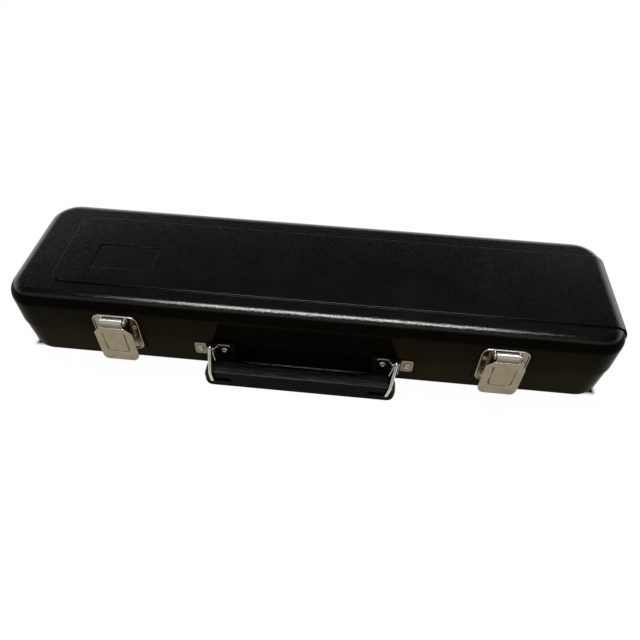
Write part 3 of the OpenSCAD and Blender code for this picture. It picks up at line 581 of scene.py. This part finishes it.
def makePlush(look):
    material, tree, shader, place = startMaterial("bluePlush")
    pile = addNoise(tree, place, look["pilesPerMetre"], 2.0, 0.6)
    brushed = addNoise(tree, place, look["brushPerMetre"], 4.0, 0.62)
    tone = addMath(tree, "MULTIPLY_ADD", pile, 0.35, addMath(tree, "MULTIPLY", brushed, 0.75))
    mix = addRange(tree, tone, 0.35, 0.75, 0.0, 1.0, smooth=True)
    tree.links.new(mixColors(tree, mix, look["color"], look["paleColor"]), shader.inputs["Base Color"])
    for socket, value in (
            ("Roughness", look["rough"]), ("Specular IOR Level", look["specular"]),
            ("Sheen Weight", look["sheen"]), ("Sheen Roughness", look["sheenRough"]),
            ("Sheen Tint", (*look["sheenTint"], 1))):
        shader.inputs[socket].default_value = value
    height = addMath(tree, "MULTIPLY_ADD", brushed, 0.8, pile)
    addBump(tree, shader, height, look["pileDepth"] * mm)
    return material


shellPlastic = makeShellPlastic(shellFinish)
handlePlastic = makeHandlePlastic(handleFinish)
platedFace = makePlatedMetal("nickelPlate", plateFinish)
dullPlate = makePlatedMetal("dulledPlate", bracketFinish)
platedWire = makePlatedMetal("brightWire", wireFinish)
pinSteel = makePinSteel(pinFinish)
plush = makePlush(plushFinish)
print("finishes made")


# Tools for meshes

def addObject(name, mesh, material):
    thing = bpy.data.objects.new(name, mesh)
    collection.objects.link(thing)
    mesh.materials.clear()
    mesh.materials.append(material)
    return thing


def bakeModifiers(thing):
    # replaces the mesh by the evaluated one and drops the modifiers
    depsgraph = bpy.context.evaluated_depsgraph_get()
    made = bpy.data.meshes.new_from_object(thing.evaluated_get(depsgraph), depsgraph=depsgraph)
    made.name = thing.name
    if thing.type == "MESH":
        thing.modifiers.clear()
        thing.data = made
        return thing
    plain = bpy.data.objects.new(thing.name, made)
    collection.objects.link(plain)
    name = thing.name
    bpy.data.objects.remove(thing)
    plain.name = name
    return plain


def edgeRoom(edge):
    # how far the narrower of an edge's two faces reaches away from it
    start, finish = (vertex.co for vertex in edge.verts)
    along = (finish - start).normalized()
    return min(max((vertex.co - start).cross(along).length for vertex in face.verts)
               for face in edge.link_faces)


flatTurn = 0.004  # radians between two faces that still make one flat
flatPower = 2  # power with which a flat's area counts in the normals around it
staleAttributes = ("custom_normal", "sharp_edge", "sharp_face")


def flatAreas(solid):
    # area of the whole flat that each face belongs to
    areas = {}
    for first in solid.faces:
        if first in areas:
            continue
        flat, waiting = {first}, [first]
        while waiting:
            for edge in waiting.pop().edges:
                for face in edge.link_faces:
                    if face not in flat and edge.calc_face_angle(1) < flatTurn:
                        flat.add(face)
                        waiting.append(face)
        total = sum(face.calc_area() for face in flat)
        areas.update((face, total) for face in flat)
    return areas


def evenNormals(solid):
    # corner normals in which the widest flat around a vertex counts most, split at sharp edges
    areas = flatAreas(solid)
    normals = []
    for face in solid.faces:
        for loop in face.loops:
            fan = [face]
            for edge in (loop.edge, loop.link_loop_prev.edge):
                here = face
                while edge.smooth and len(edge.link_faces) == 2:
                    here = next(other for other in edge.link_faces if other is not here)
                    if here in fan:
                        break
                    fan.append(here)
                    edge = next(other for other in here.edges
                                if other is not edge and loop.vert in other.verts)
            total = Vector((0, 0, 0))
            for near in fan:
                total += near.normal * (areas[near] / mm ** 2) ** flatPower
            normals.append(total.normalized() if total.length > 0 else face.normal)
    return normals


def softCopy(nodeName, name, material, look):
    # a CAD node's own shape with its sharp edges rounded over as far as their faces give room
    mesh = frame["nodes"][nodeName].data.copy()
    solid = bmesh.new()
    solid.from_mesh(mesh)
    bmesh.ops.remove_doubles(solid, verts=solid.verts, dist=look["weld"] * mm)
    flatLimit = math.radians(look["flat"])
    bmesh.ops.dissolve_limit(solid, angle_limit=flatLimit, verts=solid.verts, edges=solid.edges)
    weights = solid.edges.layers.float.new("bevel_weight_edge")
    for edge in solid.edges:
        if len(edge.link_faces) == 2 and edge.calc_length() >= look["shortest"] * mm:
            if edge.calc_face_angle() > math.radians(look["bevelled"]):
                edge[weights] = min(1.0, look["roomShare"] * edgeRoom(edge) / (look["edge"] * mm))
    rounded = sum(edge[weights] > 0 for edge in solid.edges)
    bmesh.ops.triangulate(solid, faces=[face for face in solid.faces if len(face.verts) > 4])
    solid.to_mesh(mesh)
    solid.free()
    for attribute in [name for name in staleAttributes if name in mesh.attributes]:
        mesh.attributes.remove(mesh.attributes[attribute])
    mesh.shade_smooth()
    piece = addObject(name, mesh, material)
    bevel = piece.modifiers.new("roundedEdges", "BEVEL")
    bevel.width = look["edge"] * mm
    bevel.segments = look["steps"]
    bevel.limit_method = "WEIGHT"
    bevel.use_clamp_overlap = False
    bevel.loop_slide = False
    bakeModifiers(piece)
    solid = bmesh.new()
    solid.from_mesh(piece.data)
    for edge in solid.edges:
        turn = math.degrees(edge.calc_face_angle(0))
        edge.smooth = turn < look["sharp"] or turn < look["crease"] and edgeRoom(edge) < look["foldRoom"] * mm
    normals = evenNormals(solid)
    solid.to_mesh(piece.data)
    solid.free()
    piece.data.normals_split_custom_set(normals)
    print(name, rounded, "rounded edges,", len(piece.data.polygons), "faces")
    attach(piece, frame["nodes"][nodeName]["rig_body"])
    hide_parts(nodeName)
    return piece


# Moulded shells

shellEdges = {
    "weld": 0.002,
    "flat": 0.5,  # degrees between faces that are joined into one
    "edge": 0.3,  # how far the rounding reaches from an edge
    "steps": 3,
    "bevelled": 18,  # degrees from which an edge is rounded over
    "shortest": 0.5,  # length of the shortest edge that is rounded over
    "roomShare": 0.4,  # share of a narrow face that its rounding may take
    "sharp": 18,  # degrees from which an edge between wide faces stays a crease
    "crease": 42,  # degrees from which every edge stays a crease
    "foldRoom": 1.2,  # width of a wide face
}
for nodeName, pieceName in (("base_shell", "baseShellSkin"), ("lid_shell", "lidShellSkin")):
    skin = softCopy(nodeName, pieceName, shellPlastic, shellEdges)
print("shells made")


# Handle

gripEdges = {**shellEdges, "edge": 0.38, "steps": 4, "shortest": 0.15}
grip = softCopy("handle_grip", "handleGripSkin", handlePlastic, gripEdges)
print("handle made")


# Latches and handle brackets, pressed from plated sheet

sheetEdges = {**shellEdges, "edge": 0.42, "bevelled": 30, "shortest": 0.15, "roomShare": 0.42}
pressedPieces = {
    "keeper_plate": ("keeperPlate", platedFace), "catch_plate": ("catchPlate", platedFace),
    "latch_lever": ("latchLever", platedFace), "handle_bracket": ("handleBracket", dullPlate),
}
for nodeStem, (pieceStem, finish) in pressedPieces.items():
    for side in ("left", "right"):
        pressed = softCopy(f"{nodeStem}_{side}", f"{pieceStem}{side.capitalize()}", finish, sheetEdges)
print("latches and brackets made")


# Steel pins keep their CAD shape

for nodeName, node in frame["nodes"].items():
    if "_pin_" in nodeName:
        node.data.materials.clear()
        node.data.materials.append(pinSteel)


# Geometry Nodes trees

def newTree(name, inputs):
    shape = ("Geometry", "NodeSocketGeometry")
    return newGroup(name, [(*shape, None), *inputs], [shape], "GeometryNodeTree")


def runTree(thing, tree, values):
    # sets the named inputs by their identifiers and turns the result into a plain mesh
    modifier = thing.modifiers.new(tree.name, "NODES")
    modifier.node_group = tree
    for item in tree.interface.items_tree:
        if item.item_type == "SOCKET" and item.in_out == "INPUT" and item.name in values:
            modifier[item.identifier] = values[item.name]
    return bakeModifiers(thing)


# Links: bent rings of round wire

linkLook = {
    "wire": 2.3,
    "pivot": (-56.75, 26.2),  # y and z of the middle of the bracket's bridge
    "bridge": (2.6, 1.0),  # height and thickness of the bridge's strap
    "gap": 0.4,  # between wire and bridge
    "front": -69.2,  # y of the wire in front of the handle
    "shoulder": 16.175,  # height of the wire over the handle's upper front edge
    "slotHeight": 7,  # height of the wire in the slot
    "bend": 3.0,
    "tightShare": 0.8,  # radius of the upper front bend beside that of the bend round the bridge
    "bendSteps": 10,
    "wireSides": 24,
    "places": {"Left": (-65.3, -63.5), "Right": (59.9, 55.5)},  # x in the bracket and x in the slot
}


def makeWireTree():
    tree, start, end = newTree("bentWire", [
        ("Wire Radius", "NodeSocketFloat", 0.001), ("Bend Steps", "NodeSocketInt", 8),
        ("Wire Sides", "NodeSocketInt", 16), ("Finish", "NodeSocketMaterial", None)])
    bends = addNode(tree, "GeometryNodeInputRadius")
    fillet = addNode(tree, "GeometryNodeFilletCurve", {
        "Curve": start.outputs["Geometry"], "Count": start.outputs["Bend Steps"], "Radius": bends.outputs[0]},
        mode="POLY")
    even = addNode(tree, "GeometryNodeSetCurveRadius", {"Curve": fillet.outputs[0], "Radius": 1.0})
    ring = addNode(tree, "GeometryNodeCurvePrimitiveCircle", {
        "Resolution": start.outputs["Wire Sides"], "Radius": start.outputs["Wire Radius"]})
    tube = addNode(tree, "GeometryNodeCurveToMesh", {
        "Curve": even.outputs[0], "Profile Curve": ring.outputs["Curve"]})
    smooth = addNode(tree, "GeometryNodeSetShadeSmooth", {"Geometry": tube.outputs[0], "Shade Smooth": True})
    real = addNode(tree, "GeometryNodeRealizeInstances", {"Geometry": smooth.outputs[0]})
    coated = addNode(tree, "GeometryNodeSetMaterial", {
        "Geometry": real.outputs[0], "Material": start.outputs["Finish"]})
    tree.links.new(coated.outputs[0], end.inputs[0])
    return tree


def makeLink(side, look, tree):
    # closed ring in a plane that leans from the bracket to the slot
    wireRadius = look["wire"] / 2
    pivotY, pivotZ = look["pivot"]
    bracketX, slotX = look["places"][side]
    lean = math.atan((bracketX - slotX) / (pivotZ - look["slotHeight"]))
    topBend = math.hypot(*look["bridge"]) / 2 + look["gap"] + wireRadius
    back = pivotY + topBend
    shoulder, bottom = ((look[name] - pivotZ) / math.cos(lean) for name in ("shoulder", "slotHeight"))
    corners = [
        (back, topBend, topBend),
        (pivotY - topBend / 2, topBend, topBend * look["tightShare"]),
        (look["front"], shoulder, look["bend"]),
        (look["front"], bottom, look["bend"]),
        (back, bottom, look["bend"]),
    ]
    curve = bpy.data.curves.new("handleLink" + side, "CURVE")
    curve.dimensions = "3D"
    line = curve.splines.new("POLY")
    line.points.add(len(corners) - 1)
    for point, (y, above, bend) in zip(line.points, corners):
        place = (bracketX + above * math.sin(lean), y, pivotZ + above * math.cos(lean))
        point.co = (*(value * mm for value in place), 1)
        point.radius = bend * mm
    line.use_cyclic_u = True
    link = bpy.data.objects.new("handleLink" + side, curve)
    collection.objects.link(link)
    link = runTree(link, tree, {
        "Wire Radius": wireRadius * mm, "Bend Steps": look["bendSteps"],
        "Wire Sides": look["wireSides"], "Finish": platedWire})
    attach(link, "link_" + side.lower())
    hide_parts("handle_link_" + side.lower())


wireTree = makeWireTree()
for side in ("Left", "Right"):
    makeLink(side, linkLook, wireTree)
print("links made")


# Rivets: one lathed head with its shank and tail, set on every place

rivetLook = {
    "headHeight": 0.7,
    "shank": 1.0,
    "tail": 1.5,
    "tailHeight": 0.8,
    "sides": 28,
    "rings": 14,
    "weld": 0.002,
    "crease": 40,  # degrees
    "profile": [(0.0, 0.25), (0.34, 0.25), (0.46, 0.72), (0.6, 1.0), (0.78, 0.86), (0.93, 0.5), (1.0, 0.0)],
}
rivetRows = {
    "keeperRivets": {
        "node": "keeper_rivets", "body": "lid", "head": 1.7,
        "middles": (-129.3, 129.3), "spread": 12.3, "height": 38},
    "catchRivets": {
        "node": "catch_rivets", "body": "base", "head": 1.7,
        "middles": (-129.3, 129.3), "spread": 12.3, "height": 21},
    "bracketRivets": {
        "node": "bracket_rivets", "body": "base", "head": 2.3,
        "middles": (-65.3, 59.9), "spread": 8.2, "height": 22},
}


def addStub(tree, sides, radius, length, middle):
    # upright cylinder with its middle at the given height
    stub = addNode(tree, "GeometryNodeMeshCylinder", {"Vertices": sides, "Radius": radius, "Depth": length})
    place = addNode(tree, "ShaderNodeCombineXYZ", {"Z": middle})
    return addNode(tree, "GeometryNodeTransform", {
        "Geometry": stub.outputs["Mesh"], "Translation": place.outputs[0]})


def makeRivetTree(look):
    tree, start, end = newTree("rivetRow", [
        ("Head Radius", "NodeSocketFloat", 0.0017), ("Head Height", "NodeSocketFloat", 0.0007),
        ("Shank Radius", "NodeSocketFloat", 0.001), ("Shank Length", "NodeSocketFloat", 0.004),
        ("Tail Radius", "NodeSocketFloat", 0.0015), ("Tail Height", "NodeSocketFloat", 0.0008),
        ("Finish", "NodeSocketMaterial", None)])
    inputs = start.outputs
    disc = addNode(tree, "GeometryNodeMeshCone", {
        "Vertices": look["sides"], "Side Segments": look["rings"], "Radius Top": 0.0,
        "Radius Bottom": inputs["Head Radius"], "Depth": 0.1 * mm}, fill_type="NGON")
    place = addNode(tree, "GeometryNodeInputPosition")
    flat = addVector(tree, "MULTIPLY", place.outputs[0], (1, 1, 0))
    share = addMath(tree, "DIVIDE", addVector(tree, "LENGTH", flat), inputs["Head Radius"])
    shape = addNode(tree, "ShaderNodeFloatCurve", {"Value": share})
    points = shape.mapping.curves[0].points
    points[0].location = look["profile"][0]
    points[1].location = look["profile"][-1]
    for spot in look["profile"][1:-1]:
        points.new(*spot)
    shape.mapping.update()
    height = addMath(tree, "MULTIPLY", shape.outputs[0], inputs["Head Height"])
    lift = addNode(tree, "ShaderNodeCombineXYZ", {"Z": height})
    head = addNode(tree, "GeometryNodeSetPosition", {
        "Geometry": disc.outputs["Mesh"], "Position": addVector(tree, "ADD", flat, lift.outputs[0])})
    half = addMath(tree, "MULTIPLY", inputs["Shank Length"], -0.5)
    shank = addStub(tree, look["sides"], inputs["Shank Radius"], inputs["Shank Length"], half)
    drop = addMath(tree, "MULTIPLY", inputs["Shank Length"], -1.0)
    drop = addMath(tree, "MULTIPLY_ADD", inputs["Tail Height"], -0.5, drop)
    tail = addStub(tree, look["sides"], inputs["Tail Radius"], inputs["Tail Height"], drop)
    whole = addNode(tree, "GeometryNodeJoinGeometry")
    for part in (head, shank, tail):
        tree.links.new(part.outputs[0], whole.inputs[0])
    spread = addNode(tree, "GeometryNodeInstanceOnPoints", {
        "Points": inputs["Geometry"], "Instance": whole.outputs[0], "Rotation": (math.radians(90), 0, 0)})
    real = addNode(tree, "GeometryNodeRealizeInstances", {"Geometry": spread.outputs[0]})
    merged = addNode(tree, "GeometryNodeMergeByDistance", {
        "Geometry": real.outputs[0], "Distance": look["weld"] * mm})
    smooth = addNode(tree, "GeometryNodeSetShadeSmooth", {
        "Geometry": merged.outputs[0], "Shade Smooth": True})
    coated = addNode(tree, "GeometryNodeSetMaterial", {
        "Geometry": smooth.outputs[0], "Material": inputs["Finish"]})
    tree.links.new(coated.outputs[0], end.inputs[0])
    return tree


def makeRivetRow(name, row, look, tree):
    low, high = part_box(row["node"])
    seat = low.y / mm + look["headHeight"]
    length = (high.y - low.y) / mm - look["headHeight"] - look["tailHeight"]
    places = [((middle + turn * row["spread"]) * mm, seat * mm, row["height"] * mm)
              for middle in row["middles"] for turn in (-1, 1)]
    mesh = bpy.data.meshes.new(name)
    mesh.from_pydata(places, [], [])
    rivets = addObject(name, mesh, platedFace)
    runTree(rivets, tree, {
        "Head Radius": row["head"] * mm, "Head Height": look["headHeight"] * mm,
        "Shank Radius": look["shank"] * mm, "Shank Length": length * mm,
        "Tail Radius": look["tail"] * mm, "Tail Height": look["tailHeight"] * mm, "Finish": platedFace})
    rivets.data.set_sharp_from_angle(angle=math.radians(look["crease"]))
    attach(rivets, row["body"])
    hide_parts(row["node"])


rivetTree = makeRivetTree(rivetLook)
for name, row in rivetRows.items():
    makeRivetRow(name, row, rivetLook, rivetTree)
print("rivets made")


# Plush tray in the base: a sewn-over form with three wells

trayLook = {
    "gridStep": 1.6,
    "edgeStep": 0.55,
    "edgeReach": 6,  # how far from a well's edge the grid stays fine
    "top": 26.5,
    "wellFloor": 5.8,
    "rim": 3.2,  # rounding of the wells' upper edges
    "footRound": 3.0,
    "slope": 1.2,  # how far the wells' walls draw in
    "softness": 0.16,  # unevenness of the plush
    "waves": [(0, 0.06, 0.6), (9, 0.35, 0.4)],  # layer, scale and share of its noises
    "sunk": 0.6,
    "outerRound": 1.6,
    "outerFall": 0.35,
    "skirt": [(12.0, 0.9), (6.5, 1.6), (3.4, 4.2)],  # height and inset of the rings under the top
    "halfLength": 202.1,
    "halfDepth": 47.85,
    "corner": 16.2,
    "wells": [  # middle x, middle y, length, width
        (0, 20.5, 352, 39),
        (-71.5, -18.5, 230, 27),
        (118.5, -21.5, 136, 33),
    ],
    "wellCorner": 5,
    "notchMiddle": -2.7,  # the hand recess that the tray's front goes round
    "notchHalf": 52.0,
    "notchDepth": 7.5,
    "notchTop": 49,
    "front": -52.25,
    "notchWall": 4.7,  # the shell's wall and the gap behind it
    "notchEase": 3.0,
    "notchClear": 12,
}


def smoothStep(value):
    value = min(1.0, max(0.0, value))
    return value * value * (3 - 2 * value)


def wellDistance(x, y, well, corner):
    middleX, middleY, length, width = well
    dx = abs(x - middleX) - length / 2 + corner
    dy = abs(y - middleY) - width / 2 + corner
    return math.hypot(max(dx, 0), max(dy, 0)) + min(max(dx, dy), 0) - corner


def trayHeight(x, y, look):
    distance = min(wellDistance(x, y, well, look["wellCorner"]) for well in look["wells"])
    drop = look["top"] - look["wellFloor"]
    rim, foot = look["rim"], look["footRound"]
    if distance >= rim:
        height = look["top"]
    elif distance >= 0:
        height = look["top"] - rim + math.sqrt(max(0.0, rim * rim - (rim - distance) ** 2))
    else:
        inward = -distance
        if inward >= foot + look["slope"]:
            height = look["wellFloor"]
        elif inward <= look["slope"]:
            height = look["top"] - rim - (drop - rim - foot) * inward / look["slope"]
        else:
            reach = foot + look["slope"] - inward
            height = look["wellFloor"] + foot - math.sqrt(max(0.0, foot ** 2 - reach ** 2))
    return height


def trayEdges(x, look, inset):
    # nearest and furthest y of the tray's outline at a place along it
    halfLength, halfDepth = look["halfLength"] - inset, look["halfDepth"] - inset
    corner = look["corner"] - inset * 0.5
    past = max(0.0, abs(x) - halfLength + corner)
    bow = corner - math.sqrt(max(0.0, corner * corner - min(past, corner) ** 2))
    return -halfDepth + bow, halfDepth - bow


def notchEdge(x, z, look):
    # front face of the tray behind the hand recess, or far in front of it elsewhere
    level = look["front"] + look["notchDepth"] * (1 - z / look["notchTop"]) + look["notchWall"]
    side = abs(x - look["notchMiddle"]) - look["notchHalf"]
    return level - look["notchClear"] * smoothStep(side / look["notchEase"])


def gridLines(low, high, edges, look):
    # evenly spaced values with closer ones near the wells' edges
    values, here = [low], low
    while here < high - look["edgeStep"] / 2:
        near = min(abs(here - edge) for edge in edges)
        step = look["edgeStep"] if near < look["edgeReach"] else look["gridStep"]
        here = min(high, here + step)
        values.append(here)
    return values


def makeTray(look):
    edgesX = [well[0] + turn * well[2] / 2 for well in look["wells"] for turn in (-1, 1)]
    edgesX += [-look["halfLength"], look["halfLength"]]
    edgesX += [look["notchMiddle"] + turn * (look["notchHalf"] + 1) for turn in (-1, 1)]
    edgesY = [well[1] + turn * well[3] / 2 for well in look["wells"] for turn in (-1, 1)]
    columns = gridLines(-look["halfLength"], look["halfLength"], edgesX, look)
    rows = gridLines(-look["halfDepth"], look["halfDepth"], edgesY, look)
    points = []
    for x in columns:
        low, high = trayEdges(x, look, 0)
        low = max(low, notchEdge(x, look["top"], look))
        for y in rows:
            y = min(high, max(low, y))
            z = trayHeight(x, y, look)
            edge = min(y - low, high - y, look["halfLength"] - abs(x))
            z -= max(0.0, look["outerRound"] - edge) ** 2 * look["outerFall"]
            bump = sum(noise.noise(Vector((x, y, layer)) * scale) * share
                       for layer, scale, share in look["waves"])
            points.append((x, y, z + look["softness"] * (bump - look["sunk"])))
    across = len(rows)
    faces = []
    for i in range(len(columns) - 1):
        for j in range(across - 1):
            a = i * across + j
            faces.append((a, a + across, a + across + 1, a + 1))
    border = [i * across for i in range(len(columns))]
    border += [(len(columns) - 1) * across + j for j in range(1, across)]
    border += [i * across + across - 1 for i in range(len(columns) - 2, -1, -1)]
    border += list(range(across - 2, 0, -1))
    previous = border
    for z, inset in look["skirt"]:
        ring = []
        for index in border:
            x, y, _ = points[index]
            x = max(-look["halfLength"] + inset, min(look["halfLength"] - inset, x))
            low, high = trayEdges(x, look, inset)
            low = max(low, notchEdge(x, z, look))
            ring.append(len(points))
            points.append((x, min(high, max(low, y)), z))
        for k in range(len(border)):
            following = (k + 1) % len(border)
            faces.append((previous[k], ring[k], ring[following], previous[following]))
        previous = ring
    faces.append(tuple(reversed(previous)))
    mesh = bpy.data.meshes.new("plushTray")
    mesh.from_pydata([(x * mm, y * mm, z * mm) for x, y, z in points], [], faces)
    solid = bmesh.new()
    solid.from_mesh(mesh)
    bmesh.ops.remove_doubles(solid, verts=solid.verts, dist=0.01 * mm)
    bmesh.ops.triangulate(solid, faces=[face for face in solid.faces if len(face.verts) > 4])
    bmesh.ops.recalc_face_normals(solid, faces=solid.faces)
    solid.to_mesh(mesh)
    solid.free()
    mesh.shade_smooth()
    tray = addObject("plushTray", mesh, plush)
    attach(tray, "base")
    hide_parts("base_tray")


makeTray(trayLook)
print("tray made")


# Padded cover on the lid's ceiling

padLook = {
    "weld": 0.002,
    "voxel": 3.2,
    "shrink": 1.6,  # how much smaller the cloth starts on each side
    "pressure": 4.0,
    "frames": 20,
    "cap": 3.0,  # furthest that the cloth may move
    "ceiling": 0.05,  # gap to the lid's ceiling
    "glued": 2.4,  # depth of the layer that lies flat against the ceiling
    "fill": 0.6,
}


def makePad(look):
    low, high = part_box("lid_pad")
    middle = (low + high) / 2
    mesh = frame["nodes"]["lid_pad"].data.copy()
    solid = bmesh.new()
    solid.from_mesh(mesh)
    bmesh.ops.remove_doubles(solid, verts=solid.verts, dist=look["weld"] * mm)
    size = high - low
    shares = [1 - 2 * look["shrink"] * mm / side for side in size]
    for vertex in solid.verts:
        offset = vertex.co - middle
        vertex.co = middle + Vector(o * s for o, s in zip(offset, shares))
    solid.to_mesh(mesh)
    solid.free()
    pad = addObject("lidPadCover", mesh, plush)
    remesh = pad.modifiers.new("evenFaces", "REMESH")
    remesh.mode = "VOXEL"
    remesh.voxel_size = look["voxel"] * mm
    bakeModifiers(pad)
    start = [vertex.co.copy() for vertex in pad.data.vertices]
    cloth = pad.modifiers.new("swelling", "CLOTH")
    cloth.settings.use_pressure = True
    cloth.settings.uniform_pressure_force = look["pressure"]
    cloth.settings.effector_weights.gravity = 0
    for step in range(1, look["frames"] + 1):
        scene.frame_set(step)
    bakeModifiers(pad)
    scene.frame_set(1)
    top = high.z - look["ceiling"] * mm
    for vertex, before in zip(pad.data.vertices, start):
        move = vertex.co - before
        if move.length > look["cap"] * mm:
            move *= look["cap"] * mm / move.length
        place = before + move
        place.x = min(high.x, max(low.x, place.x))
        place.y = min(high.y, max(low.y, place.y))
        place.z = min(top, max(low.z, place.z))
        if before.z > high.z - look["glued"] * mm:
            place.z = top
        vertex.co = place
    smooth = pad.modifiers.new("smoothing", "SUBSURF")
    smooth.levels = smooth.render_levels = 1
    bakeModifiers(pad)
    pad.data.materials.clear()
    pad.data.materials.append(plush)
    pad.data.shade_smooth()
    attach(pad, "lid")
    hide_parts("lid_pad")


makePad(padLook)
print("lid pad made")
